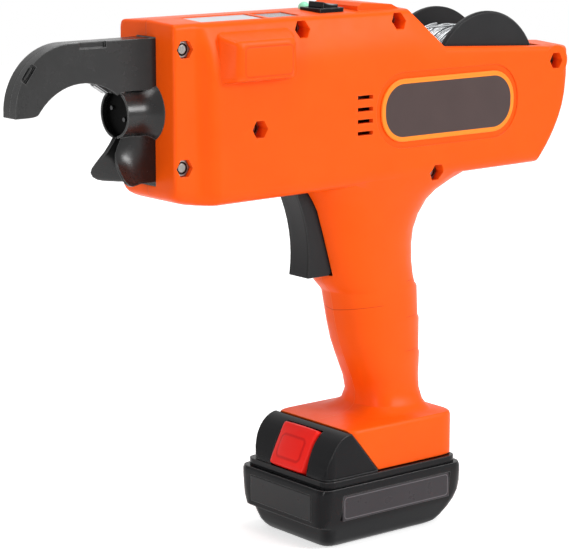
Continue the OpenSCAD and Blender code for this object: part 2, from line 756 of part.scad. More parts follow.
module trigger_switch() {
    color("#26262A") {
        block(switch_x, -switch_half, spring_z - 2 * spring_radius, switch_length, 2 * switch_half, switch_height);
    }
}
spring_wire = 0.7;
spring_curls = 6;
spring_rings = 8;
spring_sides = 6;
// A tube of the given radius along a path of points
function ring_about(p, d, r, sides) =
    let (u = d / norm(d), v = cross(abs(u[0]) < near_share * 2 ? [1, 0, 0] : [0, 1, 0], u), a = v / norm(v), b = cross(u, a))
    [for (k = [0:sides - 1]) p + r * (a * cos(360 * k / sides) + b * sin(360 * k / sides))];
function path_dir(path, i) = path[min(i + 1, len(path) - 1)] - path[max(i - 1, 0)];
module tube(path, r, sides) {
    rings = [for (i = [0:len(path) - 1]) ring_about(path[i], path_dir(path, i), r, sides)];
    n = sides;
    m = len(rings);
    polyhedron([for (q = rings) each q], concat(
        [for (i = [0:m - 2], j = [0:n - 1]) each let (a = i * n + j, b = i * n + (j + 1) % n)
            [[a, b + n, b], [a, a + n, b + n]]],
        [for (j = [1:n - 2]) [0, j, j + 1]],
        [for (j = [1:n - 2]) [(m - 1) * n, (m - 1) * n + j + 1, (m - 1) * n + j]]), convexity = 10);
}
function curl_path(x0, x1, z, r, curls, rings) =
    [for (i = [0:curls * rings]) let (t = i / rings) [mix(x0, x1, i / (curls * rings)), r * cos(360 * t), z + r * sin(360 * t)]];
spring_front_x = switch_x - trigger_travel - spring_pocket - trigger_deep + spring_wire;
module trigger_spring() {
    color("#AEB2B6") tube(curl_path(spring_front_x, switch_x - spring_wire, spring_z, spring_radius - spring_wire,
        spring_curls, spring_rings), spring_wire / 2, spring_sides);
}

// Control board in the slots of the ribs
board_rise = 9.6;
board_z = belly_z + board_rise;
board_t = 1.6;
board_half = lead_slot - 2 * seat;
board_x = -48;
board_length = 62;
chip_height = 2;
chip_size = 9;
chip_count = 3;
module control_board() {
    color("#1F5A38") union() {
        block(board_x, -board_half, board_z, board_length, 2 * board_half, board_t);
        for (i = [0:chip_count - 1])
            block(board_x + (i + near_share) * board_length / chip_count, -chip_size / 2, board_z + board_t,
                chip_size, chip_size, chip_height);
    }
}

// Twist drive: a sun on the motor shaft, three planets and a fixed ring
pressure = 25;
tooth_tip_share = 0.9;
tooth_root_share = 1.15;
tooth_share = 0.46;
gap_share = 0.54;
sun_teeth = 12;
planet_teeth = 15;
ring_teeth = sun_teeth + 2 * planet_teeth;
planet_count = 3;
function involute(a) = tan(a) * 180 / PI - a;
function flank(teeth, size, share, r) =
    let (pitch = teeth * size / 2, base = pitch * cos(pressure))
    180 * share / teeth + involute(pressure) - involute(acos(min(1, base / max(r, base))));
function gear_points(teeth, size, tip, root, share, turn) =
    let (pitch = teeth * size / 2, low = pitch - root * size, top = pitch + tip * size,
        radii = [low, pitch - root * size / 2, pitch, mix(pitch, top, near_share), top])
    [for (i = [0:teeth - 1]) let (a = turn + 360 * i / teeth)
        each concat([for (r = radii) let (b = a - flank(teeth, size, share, r)) r * [cos(b), sin(b)]],
            [for (k = [len(radii) - 1:-1:0]) let (r = radii[k], b = a + flank(teeth, size, share, r))
                r * [cos(b), sin(b)]])];
module gear(teeth, size, turn, face) {
    linear_extrude(face) polygon(gear_points(teeth, size, tooth_tip_share, tooth_root_share, tooth_share, turn));
}
// Turn of the second gear of a pair, when the first stands at turn and the second lies towards angle
function mate(turn, n1, n2, angle) = angle + 180 + 180 / n2 - (turn - angle) * n1 / n2;
stage_gap = 2;
stage_x = -motor_front - stage_gap - twist_face;
planet_path = (sun_teeth + planet_teeth) * twist_module / 2;
planet_pin_radius = 1.8;
carrier_t = 3;
carrier_gap = 1.2;
carrier_x = stage_x - carrier_gap - carrier_t;
carrier_radius = planet_path + 2 * planet_pin_radius;
function planet_angle(k) = 90 + 360 * k / planet_count;
function planet_turn(k) = mate(0, sun_teeth, planet_teeth, planet_angle(k));
ring_turn = planet_angle(0) + (planet_turn(0) - planet_angle(0)) * planet_teeth / ring_teeth;
motor_bore_depth = 30;
motor_shaft_radius = 2.4;
gearbox_wall = 3;
case_room = 2;
case_bore = carrier_radius + case_room;
module gearbox_case() {
    color("#8A8D91") difference() {
        rod_x(gearbox_front_x, 0, axis_z, gearbox_radius, gearbox_length);
        rod_x(gearbox_front_x - over, 0, axis_z, shaft_radius + run, far);
        rod_x(gearbox_front_x + gearbox_wall, 0, axis_z, case_bore, stage_x - gearbox_front_x - gearbox_wall + over);
        along_x(stage_x - seat, 0, axis_z) linear_extrude(far) polygon(gear_points(ring_teeth, twist_module,
            tooth_root_share, tooth_tip_share, gap_share, ring_turn));
    }
}
module twist_motor() {
    color("#6F7377") difference() {
        rod_x(-motor_front, 0, axis_z, motor_radius, motor_length);
        rod_x(-motor_front - over, 0, axis_z, motor_shaft_radius + run, motor_bore_depth + over);
    }
}
cap_step = 1;
module motor_end_cap() {
    color("#2A2A2D") rod_x(-motor_front + motor_length, 0, axis_z, motor_radius - cap_step, end_cap_length);
}
module motor_shaft() {
    color("#B9BCC0") along_x(stage_x, 0, axis_z) union() {
        gear(sun_teeth, twist_module, 0, twist_face);
        cylinder(r = motor_shaft_radius, h = twist_face + stage_gap + motor_bore_depth - over);
    }
}
module planet_gear(k) {
    color("#A7ABB0") along_x(stage_x, 0, axis_z) rotate([0, 0, planet_angle(k)]) translate([planet_path, 0, 0])
        difference() {
            gear(planet_teeth, twist_module, planet_turn(k) - planet_angle(k), twist_face);
            translate([0, 0, -over]) cylinder(r = planet_pin_radius + run, h = twist_face + 2 * over);
        }
}
module planet_gear_1() { planet_gear(0); }
module planet_gear_2() { planet_gear(1); }
module planet_gear_3() { planet_gear(2); }
head_in = 2.2;
head_x = -barrel_front + head_in;
shaft_end_x = head_x + head_length;
module planet_carrier() {
    color("#9A9EA3") union() {
        along_x(carrier_x, 0, axis_z) {
            cylinder(r = carrier_radius, h = carrier_t);
            for (k = [0:planet_count - 1]) rotate([0, 0, planet_angle(k)]) translate([planet_path, 0, 0])
                cylinder(r = planet_pin_radius, h = stage_x - carrier_x + twist_face);
        }
        rod_x(shaft_end_x, 0, axis_z, shaft_radius, carrier_x - shaft_end_x);
    }
}
pin_y = 4.3;
pin_z = 2;
pin_radius = 0.9;
pin_out = 0.8;
module twist_head() {
    color("#101012") difference() {
        rod_x(head_x, 0, axis_z, head_radius, head_length);
        hook_pin_places() cylinder(r = pin_radius + run, h = head_length / 2);
    }
}
module hook_pin_places() {
    for (s = [-1, 1]) along_x(head_x - pin_out, s * pin_y, axis_z + s * pin_z) children();
}
module hook_pins() { color("#D6D8DA") hook_pin_places() cylinder(r = pin_radius, h = pin_out + head_length / 3); }
bearing_radius = 9.4;
bearing_in = 0.8;
bearing_x = front_x + bearing_in;
bearing_length = nose_back_x - bearing_x;
module front_bearing() {
    color("#C2C5C8") difference() {
        rod_x(bearing_x, 0, axis_z, bearing_radius, bearing_length);
        rod_x(bearing_x - over, 0, axis_z, shaft_radius + run, far);
    }
}

// Nose: two mirrored halves with the curl guide, the barrel and the lips
tip_round = 5;
tip_width = 9.8;
root_rise = 9.3;
root_low_z = axis_z + root_rise;
root_start_in = 2.2;
root_start_x = -barrel_front + root_start_in;
flare_steps = 6;
curl_z = arm_top_z - curl_radius;
function mouth_point(a) = [-mouth_x + mouth_radius * cos(a), mouth_z + mouth_radius * sin(a)];
mouth_start = 142;
mouth_end = acos((mouth_x - barrel_front) / mouth_radius);
module arm_profile() {
    tip_x = -curl_x - curl_radius;
    polygon(concat(arc(-curl_x, curl_z, curl_radius, 90, 176, 16),
        [[tip_x, tip_z]], corner([tip_x, tip_z], [tip_x + tip_width, tip_z], mouth_point(mouth_start), tip_round, 5),
        [for (i = [0:16]) mouth_point(mix(mouth_start, mouth_end, i / 16))],
        [[root_start_x, root_low_z], [front_x, root_low_z], [front_x, arm_top_z]]));
}
module arm_plan() {
    side = concat([[-far, arm_half]], [for (i = [0:flare_steps]) let (t = i / flare_steps)
        [mix(root_start_x, front_x, t), mix(arm_half, root_half, t * t)]]);
    polygon(concat(side, [for (i = [len(side) - 1:-1:0]) [side[i][0], -side[i][1]]]));
}
barrel_neck_share = 0.45;
module barrel_profile() {
    length = barrel_front - body_front;
    polygon(concat([[0, 0], [barrel_radius, 0]], [for (i = [0:flare_steps]) let (t = i / flare_steps)
        [mix(barrel_radius, bulge_radius - seat, t * t), mix(length * barrel_neck_share, length, t)]],
        [[bulge_radius - seat, length + over], [0, length + over]]));
}
bore_radius = head_radius + play;
bore_room = 2.2;
bore_depth = head_length + bore_room;
// Lips: height, rim's reach ahead of the front face and half width of the rim, top to bottom
lip_reach = 20.8;
lip_shares = [[1, 0.7, 0.27], [0.82, 0.8, 0.3], [0.66, 0.89, 0.37], [0.52, 0.955, 0.52], [0.4, 0.99, 0.68],
    [0.29, 1, 0.85], [0.19, 0.985, 0.96], [0.09, 0.92, 1], [0.03, 0.83, 0.95], [0, 0.72, 0.84]];
lip_top_drop = 9;
lip_top_z = axis_z - lip_top_drop;
lip_blend_share = 0.9;
lip_wall = 1.7;
lip_slot = 1.5;
function lip_ring(s) =
    let (z = mix(lip_low_z, lip_top_z, s[0]), x = front_x - lip_reach * s[1], y = lip_half * s[2],
        back = front_x, waist = mix(x, back, near_share), inner = max(lip_slot, y - lip_wall),
        outer = mix(y, chin_half, lip_blend_share))
    [for (p = [[back, lip_slot], [waist, lip_slot], [mix(x, waist, near_share), mix(lip_slot, inner, near_share)],
        [x + lip_wall / 2, inner], [x, y - lip_wall / 3], [x + lip_wall / 2, y],
        [mix(x, waist, near_share), mix(y, outer, near_share)], [waist, outer], [back, chin_half]])
        [p[0], -p[1], z]];
module nose_whole() {
    difference() {
        union() {
            front_prism(front_x, flange_gap + seat) nose_outline(0);
            front_prism(front_x + flange_gap, nose_flange_t) nose_outline(nose_flange);
            along_x(-barrel_front, 0, axis_z) rotate_extrude() barrel_profile();
            intersection() {
                translate([0, root_half + over, 0]) rotate([90, 0, 0]) linear_extrude(2 * root_half + 2 * over)
                    arm_profile();
                translate([0, 0, belly_z]) linear_extrude(far) arm_plan();
            }
            loft([for (s = lip_shares) lip_ring(s)], true);
        }
        rod_x(-barrel_front - over, 0, axis_z, bore_radius, bore_depth + over);
        rod_x(-barrel_front, 0, axis_z, shaft_radius + play, far);
        rod_x(bearing_x - seat, 0, axis_z, bearing_radius + seat, far);
        block(-barrel_front - over, -lip_slot, lip_low_z, bore_depth + over, lip_slot + over, axis_z - lip_low_z);
        rod_x(-mouth_x, 0, wire_z, wire_hole, far);
        for (s = screws) rod_y(s[0], -far, s[1], boss_radius + play, 2 * far);
        side_prism(blade_outline(blade_gap), -blade_half - seat, blade_half + seat + over);
    }
}
notch_back = 4;
notch_x = -curl_x + notch_back;
notch_length = 12.6;
notch_depth = 2.4;
notch_in = 1.2;
clip_angle = 142;
clip_length = 8;
module nose_left() {
    color("#47484A") difference() {
        left_half() nose_whole();
        block(notch_x, -far, arm_top_z - notch_depth, notch_length, far - arm_half + notch_in, far);
        translate([-curl_x, 0, curl_z]) rotate([0, -clip_angle, 0]) block(curl_radius - notch_depth, -far,
            -clip_length / 2, far, far - arm_half + notch_in, clip_length);
        nose_screw_places() cylinder(r = nose_screw_radius + run, h = far);
    }
}
module nose_right() {
    color("#47484A") mirror([0, 1, 0]) difference() {
        left_half() nose_whole();
        mirror([0, 1, 0]) nose_screw_places() {
            cylinder(r = nose_screw_radius + run, h = far);
            translate([0, 0, arm_half + nose_screw_length - nose_screw_head]) cylinder(r = 2 * nose_screw_radius + seat, h = far);
        }
    }
}
nose_screw_radius = 1;
nose_screw_length = 3.6;
nose_screw_head = 1;
// Nose screws: shares of the curl's radius ahead of and above its centre
nose_screw_shares = [[-0.815, 0.173], [-0.1, 0.692], [1.169, 0.558]];
module nose_screw_places() { for (p = nose_screw_shares) along_y(-curl_x + curl_radius * p[0], -nose_screw_length, curl_z + curl_radius * p[1])
        children(); }
module nose_screws() {
    color("#B8BABD") nose_screw_places() {
        cylinder(r = nose_screw_radius, h = arm_half + nose_screw_length);
        translate([0, 0, arm_half + nose_screw_length - nose_screw_head])
            cylinder(r = 2 * nose_screw_radius, h = nose_screw_head);
    }
}
// Bright blades that turn the wire under the root
blade_half = 1.5;
blade_t = 1;
blade_gap = 0.15;
blade_length = 8.9;
blade_low = 0.7;
blade_rise = 2.5;
blade_back = 3.9;
blade_in = 1.4;
blade_end_x = -barrel_front - blade_in;
function blade_outline(grow) = [[blade_end_x - blade_length - grow, root_low_z + blade_rise - 2 * grow],
    [blade_end_x - blade_back, root_low_z - blade_low - 2 * grow], [blade_end_x + grow, root_low_z + blade_low - 2 * grow],
    [blade_end_x + grow, root_low_z + blade_low + blade_rise + 2 * grow],
    [blade_end_x - blade_length - grow, root_low_z + blade_low + 2 * (blade_rise + grow)]];
module wear_blades() {
    color("#D9DBDD") for (s = [-1, 1]) side_prism(blade_outline(0), s * (blade_half - blade_t / 2) - blade_t / 2, blade_t);
}

// Wire feed between two plates
nip = 0.15;
roller_px = front_x + roller_x;
feed_px = front_x + feed_x;
wire_z = roller_z + roller_radius + nip + wire_d / 2;
lead_gap = 0.5;
lead_z = reel_z + winding_radius + wire_d + lead_gap;
function wire_z_at(x) = mix(wire_z, lead_z, clamp((x - roller_px) / (reel_x - roller_px)));
pinion_teeth = 14;
idler_teeth = 24;
roller_teeth = 24;
pinion_reach = (pinion_teeth + idler_teeth) * feed_module / 2;
roller_reach = (idler_teeth + roller_teeth) * feed_module / 2;
feed_to_roller = [roller_px - feed_px, roller_z - feed_z];
feed_span = norm(feed_to_roller);
feed_along = (feed_span * feed_span + pinion_reach * pinion_reach - roller_reach * roller_reach) / (2 * feed_span);
feed_aside = sqrt(pinion_reach * pinion_reach - feed_along * feed_along);
idler_px = feed_px + (feed_to_roller[0] * feed_along - feed_to_roller[1] * feed_aside) / feed_span;
idler_z = feed_z + (feed_to_roller[1] * feed_along + feed_to_roller[0] * feed_aside) / feed_span;
pinion_line = atan2(feed_z - idler_z, idler_px - feed_px);
roller_line = atan2(idler_z - roller_z, roller_px - idler_px);
idler_turn = mate(0, pinion_teeth, idler_teeth, pinion_line);
roller_turn = mate(idler_turn, idler_teeth, roller_teeth, roller_line);
plate_in = 10;
feed_plate_t = 2;
plate_front_in = 10.6;
plate_rear_gap = 2;
plate_front_x = front_x + plate_front_in;
plate_rear_x = gearbox_front_x - plate_rear_gap;
plate_chamfer = 8;
feed_gear_y = plate_in + feed_plate_t + play;
feed_gear_face = 4;
idler_pin_radius = 1.5;
feed_shaft_radius = 1.2;
roller_shaft_radius = 2;
press_pin_radius = 1.5;
press_back = 8;
press_rise = 1.8;
presser_z = wire_z + wire_d / 2 + nip + presser_radius;
press_px = roller_px + press_back;
press_z = presser_z + press_rise;
motor_nose_radius = 4;
feed_motor_y = -17;
function plate_low(x) = belly_line(x) + wall + play;
plate_top = deck_z - crown_drop - wall - seat;
module feed_plate(motor_hole) {
    difference() {
        side_prism([[plate_front_x + plate_chamfer, plate_low(plate_front_x)], [plate_rear_x, plate_low(plate_rear_x)],
            [plate_rear_x, plate_top], [plate_front_x, plate_top], [plate_front_x, plate_low(plate_front_x) + plate_chamfer]],
            plate_in, feed_plate_t);
        rod_y(feed_px, 0, feed_z, motor_hole + seat, far);
        rod_y(idler_px, 0, idler_z, idler_pin_radius + run, far);
        rod_y(roller_px, 0, roller_z, roller_shaft_radius + run, far);
        rod_y(press_px, 0, press_z, press_pin_radius + run, far);
        rod_y(middle_screw_x, 0, middle_screw_z, boss_radius + play, far);
    }
}
module feed_plates() {
    color("#8F9398") {
        feed_plate(motor_nose_radius);
        mirror([0, 1, 0]) feed_plate(feed_motor_radius);
    }
}
module feed_motor() {
    color("#5D6166") difference() {
        union() {
            rod_y(feed_px, feed_motor_y, feed_z, feed_motor_radius, plate_in - feed_motor_y - seat);
            rod_y(feed_px, 0, feed_z, motor_nose_radius, plate_in + feed_plate_t);
        }
        rod_y(feed_px, 0, feed_z, feed_shaft_radius + run, far);
    }
}
module feed_pinion() {
    color("#C8A24A") union() {
        along_y(feed_px, feed_gear_y, feed_z) gear(pinion_teeth, feed_module, 0, feed_gear_face);
        rod_y(feed_px, over, feed_z, feed_shaft_radius, feed_gear_y + feed_gear_face - over);
    }
}
module idler_gear() {
    color("#D8D4C8") difference() {
        along_y(idler_px, feed_gear_y, idler_z) gear(idler_teeth, feed_module, idler_turn, feed_gear_face);
        rod_y(idler_px, 0, idler_z, idler_pin_radius + run, far);
    }
}
module idler_pin() {
    color("#9DA1A5") rod_y(idler_px, plate_in, idler_z, idler_pin_radius, feed_plate_t + play + feed_gear_face + play);
}
roller_half = 4;
module drive_roller() {
    color("#8B8F94") union() {
        rod_y(roller_px, -roller_half, roller_z, roller_radius, 2 * roller_half);
        rod_y(roller_px, -plate_in - feed_plate_t, roller_z, roller_shaft_radius,
            plate_in + feed_plate_t + feed_gear_y + feed_gear_face);
        along_y(roller_px, feed_gear_y, roller_z) gear(roller_teeth, feed_module, roller_turn, feed_gear_face);
    }
}
presser_half = 3.4;
presser_axle = 1.4;
arm_t = 2.8;
arm_y = presser_half + play;
arm_end_radius = 2.6;
function stadium(a, b, r) = let (t = atan2(b[1] - a[1], b[0] - a[0]))
    concat(arc(b[0], b[1], r, t - 90, t + 90, 12), arc(a[0], a[1], r, t + 90, t + 270, 12));
module pressure_arm() {
    color("#6B6F74") difference() {
        union() {
            side_prism(stadium([roller_px, presser_z], [press_px, press_z], arm_end_radius), arm_y, arm_t);
            rod_y(roller_px, -presser_half, presser_z, presser_axle, presser_half + arm_y + arm_t / 2);
            rod_y(press_px, -presser_half, press_z, arm_end_radius, presser_half + arm_y + arm_t / 2);
        }
        rod_y(press_px, -far, press_z, press_pin_radius + run, 2 * far);
    }
}
module pressure_roller() {
    color("#C4C7CA") difference() {
        rod_y(roller_px, -presser_half, presser_z, presser_radius, 2 * presser_half);
        rod_y(roller_px, -far, presser_z, presser_axle + run, 2 * far);
    }
}
module pressure_pin() {
    color("#9DA1A5") rod_y(press_px, -plate_in - feed_plate_t, press_z, press_pin_radius, 2 * (plate_in + feed_plate_t));
}
press_spring_radius = 2.5;
module pressure_spring() {
    color("#AEB2B6") difference() {
        rod_y(press_px, arm_y + arm_t + seat, press_z, press_spring_radius, plate_in - arm_y - arm_t - 2 * seat);
        rod_y(press_px, 0, press_z, press_pin_radius + run, far);
    }
}
// Guide tube in the slope, the tie wire, and the cutter that the wire ends in
tube_radius = 2;
tube_bore = 1;
tube_out = 1.5;
tube_x = slope_x - tube_out;
tube_length = 16;
tube_z = wire_z_at(tube_x + tube_length / 2);
module wire_tube() {
    color("#C2C5C8") difference() {
        rod_x(tube_x, 0, tube_z, tube_radius, tube_length);
        rod_x(tube_x - over, 0, tube_z, tube_bore, tube_length + 2 * over);
    }
}
die_in = 2.6;
die_x = plate_front_x + die_in;
wire_rings = 56;
wire_sides = 8;
wire_end_in = 2.2;
wire_end_x = die_x + wire_end_in;
module tie_wire() {
    color("#C9CCCF") tube([for (i = [0:wire_rings]) let (x = mix(wire_end_x, reel_x, i / wire_rings)) [x, 0, wire_z_at(x)]],
        wire_d / 2, wire_sides);
}
die_length = 5;
die_drop = 6.6;
die_low_z = wire_z - die_drop;
die_height = 11;
die_hole = 0.8;
lever_t = 2.2;
lever_x = die_x - lever_t - seat;
lever_y = 6.2;
lever_drop = 4;
lever_z = wire_z - lever_drop;
lever_pin_radius = 1.5;
lever_end_radius = 2.8;
tail_y = 5;
tail_drop = 5.2;
tail_z = lever_z - tail_drop;
module cutter_die() {
    color("#7C8085") union() {
        difference() {
            block(die_x, -plate_in + seat, die_low_z, die_length, 2 * plate_in - 2 * seat, die_height);
            rod_x(die_x - over, 0, wire_z, die_hole, far);
        }
        rod_x(lever_x - seat, lever_y, lever_z, lever_pin_radius, lever_t + 2 * seat + over);
    }
}
module cutter_lever() {
    color("#4C4F53") difference() {
        front_prism(lever_x, lever_t) union() {
            polygon(stadium([0, wire_z], [lever_y, lever_z], lever_end_radius));
            polygon(stadium([tail_y, tail_z], [lever_y, lever_z], lever_end_radius));
        }
        rod_x(lever_x - over, lever_y, lever_z, lever_pin_radius + run, far);
        rod_x(lever_x - over, 0, wire_z, die_hole, far);
    }
}

// Wire reel
hub_radius = 10;
rim_bead = 0.8;
module reel_profile() {
    bore = axle_radius + run;
    in_face = reel_half - flange_t;
    polygon([[bore, -reel_half], [reel_radius - rim_bead, -reel_half], [reel_radius, -reel_half + rim_bead],
        [reel_radius, -in_face], [hub_radius, -in_face], [hub_radius, in_face], [reel_radius, in_face],
        [reel_radius, reel_half - rim_bead], [reel_radius - rim_bead, reel_half], [bore, reel_half]]);
}
module wire_reel() { color("#333335") along_y(reel_x, 0, reel_z) rotate_extrude($fn = 96) reel_profile(); }
core_gap = 0.2;
core_radius = winding_radius - wire_d / 2 - core_gap;
core_half = reel_half - flange_t - core_gap;
module wire_core() {
    color("#A9ACAF") along_y(reel_x, -core_half, reel_z) difference() {
        cylinder(r = core_radius, h = 2 * core_half);
        translate([0, 0, -over]) cylinder(r = hub_radius + seat, h = far);
    }
}
wind_rings = 24;
wind_sides = 6;
wind_half = core_half - wire_d / 2 - core_gap;
wind_total = wind_rings * winding_turns;
function wind_point(i) = let (a = 360 * i / wind_rings)
    [reel_x + winding_radius * cos(a), mix(-wind_half, wind_half, i / wind_total), reel_z + winding_radius * sin(a)];
wind_loops = [for (i = [0:wind_total]) wind_point(i)];
function end_past(a, b) = b + (b - a) / norm(b - a) * wire_d;
wind_path = concat([end_past(wind_loops[1], wind_loops[0])], wind_loops,
    [end_past(wind_loops[wind_total - 1], wind_loops[wind_total])]);
wind_gap = min([for (i = [0:wind_total - wind_rings]) norm(wind_loops[i + wind_rings] - wind_loops[i])]) - wire_d;
echo(wind_gap = wind_gap);
module wire_winding() { color("#D4D6D8") tube(wind_path, wire_d / 2, wind_sides); }
pin_reach = 10;
pin_base_radius = 9;
pin_base_t = 0.7;
module reel_pin() {
    color("#2B2B2E") union() {
        rod_y(reel_x, -bay_half + seat, reel_z, pin_base_radius, pin_base_t);
        rod_y(reel_x, -bay_half + seat, reel_z, axle_radius, pin_reach);
    }
}
knob_radius = 9.5;
knob_t = 6;
knob_gap = 0.3;
module reel_plunger() {
    color("#2B2B2E") union() {
        rod_y(reel_x, bay_half - pin_reach, reel_z, axle_radius, pin_reach + body_half - bay_half + over);
        rod_y(reel_x, body_half + knob_gap, reel_z, knob_radius, knob_t);
    }
}

// Battery pack. Rows: height, and how far front, rear and side have grown from the bottom to the widest
pack_shares = [[0, 0, 0, 0], [0.04, 0.12, 0.2, 0.2], [0.12, 0.3, 0.4, 0.36], [0.24, 0.42, 0.62, 0.54],
    [0.34, 0.5, 0.78, 0.66], [0.38, 0.94, 0.84, 0.7], [0.52, 1, 0.96, 0.82], [0.67, 1, 1, 0.9], [0.85, 1, 0.98, 0.97],
    [0.95, 0.98, 0.95, 1], [1, 0.92, 0.9, 0.96]];
pack_round = 5.5;
pack_steps = 4;
function pack_ring(s) =
    let (f = mix(base_length_half, pack_front, s[1]), r = mix(base_length_half, pack_rear, s[2]),
        h = mix(base_half, pack_half, s[3]))
    [for (p = rounded([[-f, -h], [r, -h], [r, h], [-f, h]], pack_round, pack_steps)) [p[0], p[1], s[0] * ridge_z]];
cell_floor = 4.9;
cell_gap = 0.1;
cells_across = 3;
cell_radius = (pack_half - cell_side - cell_gap) / cells_across;
cell_z = cell_radius + cell_floor;
cell_middle_x = (pack_rear - pack_front) / 2;
cell_pitch = 2 * cell_radius + cell_gap;
label_long = 62;
label_high = 11.4;
label_middle_x = 2.9;
label_low_z = 12.8;
label_t = 0.9;
label_sink = 0.7;
label_out_y = pack_half - label_sink;
front_label_half = 21;
front_label_out = 0.1;
front_label_x = -pack_front - front_label_out;
front_label_low_z = 13;
front_label_high = 11.6;
pack_screw_in = 5.7;
pack_screw_x = pack_rear - pack_screw_in;
pack_screw_y = 17;
pack_screw_radius = 1.5;
pack_screw_length = 16;
pack_screw_head = 2.2;
pack_screw_head_t = 1.6;
module pack_screw_places() {
    for (s = [-1, 1]) translate([pack_screw_x, s * pack_screw_y, cover_z]) rotate([180, 0, 0]) children();
}
module pack_lower_case() {
    cavity_half = cell_pitch + cell_radius;
    color("#29292B") difference() {
        loft([for (s = pack_shares) pack_ring(s)]);
        for (i = [-1, 0, 1]) rod_x(cell_middle_x - cell_length / 2 - seat, i * cell_pitch, cell_z, cell_radius + seat,
            cell_length + 2 * seat);
        block(cell_middle_x - cell_length / 2 - seat, -cavity_half, cell_z, cell_length + 2 * seat, 2 * cavity_half, far);
        for (s = [-1, 1]) block(label_middle_x - label_long / 2 - seat, s * (label_out_y - label_t) - (s < 0 ? far : 0),
            label_low_z - seat, label_long + 2 * seat, far, label_high + 2 * seat);
        block(-far, -front_label_half - seat, front_label_low_z - seat, far + front_label_x + label_t,
            2 * front_label_half + 2 * seat, front_label_high + 2 * seat);
        pack_screw_places() cylinder(r = pack_screw_radius + run, h = pack_screw_length + seat);
    }
}
module pack_cells() {
    color("#3D6E9E") for (i = [-1, 0, 1])
        rod_x(cell_middle_x - cell_length / 2, i * cell_pitch, cell_z, cell_radius, cell_length);
}
module pack_labels() {
    color("#3C383C") {
        for (s = [-1, 1]) block(label_middle_x - label_long / 2, s * (label_out_y - label_t / 2) - label_t / 2, label_low_z,
            label_long, label_t, label_high);
        block(front_label_x, -front_label_half, front_label_low_z, label_t, 2 * front_label_half, front_label_high);
    }
}
module pack_screws() {
    color("#8E9195") pack_screw_places() {
        cylinder(r = pack_screw_radius, h = pack_screw_length);
        cylinder(r = pack_screw_head, h = pack_screw_head_t);
    }
}
cover_z = foot_low_z - play;
cover_in = 2.8;
cover_side_in = 1.6;
cover_front = pack_front - cover_in;
cover_rear = pack_rear - cover_in;
cover_half = pack_half - cover_side_in;
hump_foot_in = 4.6;
hump_foot_rise = 4;
hump_back_in = 0.4;
hump_round = 5;
hump_peak_in = 7.9;
hump_peak_drop = 1.7;
hump_front_x = -pack_front + hump_foot_in;
hump_front_z = ridge_z + hump_foot_rise;
hump_back_x = slant_top_x + hump_back_in;
hump_peak_x = -pack_front + hump_peak_in;
hump_peak_z = hump_top_z - hump_peak_drop;
slant_gap = 0.5;
rail_end_in = 26;
rail_end_x = foot_rear - rail_end_in;
contact_x = rail_end_x + play;
contact_length = 11;
contact_half = 12;
contact_drop = 1.5;
contact_top_z = slide_top_z - contact_drop;
blade_slots = [-7, 0, 7];
blade_slot_half = 0.9;
blade_slot_in = 3;
blade_slot_x = contact_x + blade_slot_in;
latch_in = 7.5;
latch_drop = 9.4;
latch_x = -pack_front + latch_in;
latch_z = hump_top_z - latch_drop;
latch_tilt = 26.7;
latch_t = 7;
latch_floor = 3.2;
module latch_frame() { translate([latch_x, 0, latch_z]) rotate([0, 90 + latch_tilt, 0]) children(); }
module pack_upper_case() {
    slope = (slant_low_x - slant_top_x) / (foot_top_z + over - foot_low_z);
    color("#232325") difference() {
        union() {
            translate([0, 0, ridge_z]) linear_extrude(cover_z - ridge_z)
                polygon(rounded([[-cover_front, -cover_half], [cover_rear, -cover_half], [cover_rear, cover_half],
                    [-cover_front, cover_half]], pack_round, pack_steps));
            intersection() {
                side_prism(concat([[slant_low_x - slant_gap, ridge_z + seat], [slant_low_x - slant_gap, foot_low_z],
                    [slant_low_x - slant_gap - slope * (hump_top_z - foot_low_z), hump_top_z], [hump_back_x, hump_top_z]],
                    [for (i = [1:8]) let (t = i / 8) [hump_back_x, hump_top_z] * pow(1 - t, 2)
                        + [hump_peak_x, hump_peak_z] * 2 * t * (1 - t) + [hump_front_x, hump_front_z] * t * t],
                    [[hump_front_x, ridge_z + seat]]), -hump_half, 2 * hump_half);
                linear_extrude(far) polygon(rounded([[hump_front_x, -hump_half], [far, -hump_half], [far, hump_half],
                    [hump_front_x, hump_half]], hump_round, pack_steps));
            }
            block(slant_top_x, -slide_stem_half, ridge_z + seat, rail_end_x - slant_top_x, 2 * slide_stem_half,
                slide_top_z - play - ridge_z - seat);
            block(slant_top_x, -slide_flange_half, slide_lip_z + play, rail_end_x - slant_top_x, 2 * slide_flange_half,
                slide_height - 2 * play);
        }
        latch_frame() {
            translate([-latch_length / 2 - play, -latch_width / 2 - play, -over])
                cube([latch_length + 2 * play, latch_width + 2 * play, over + latch_t + latch_travel + play]);
            cylinder(r = spring_radius + play, h = latch_t + latch_travel + latch_floor);
        }
        pack_screw_places() {
            cylinder(r = pack_screw_radius + seat, h = pack_screw_length);
            translate([0, 0, -over]) cylinder(r = pack_screw_head + seat, h = over + pack_screw_head_t + seat);
        }
    }
}
module pack_contacts() {
    color("#35383C") difference() {
        block(contact_x, -contact_half, cover_z + seat, contact_length, 2 * contact_half, contact_top_z - cover_z);
        for (y = blade_slots) block(blade_slot_x, y - blade_slot_half, cover_z + over, far, 2 * blade_slot_half, far);
    }
}
block_gap = 2;
block_x = contact_x + contact_length + block_gap;
blade_depth = 8;
blade_thick = 0.9;
terminal_rise = 0.5;
terminal_low_z = slide_lip_z + terminal_rise;
module terminal_block() {
    color("#2F3236") union() {
        block(block_x, -contact_half, terminal_low_z, slide_rear_x - seat - block_x, 2 * contact_half,
            slide_top_z - seat - terminal_low_z);
        for (y = blade_slots) block(block_x - blade_depth, y - blade_thick / 2, terminal_low_z + seat, blade_depth + over,
            blade_thick, slide_top_z - 2 * play - terminal_low_z);
    }
}
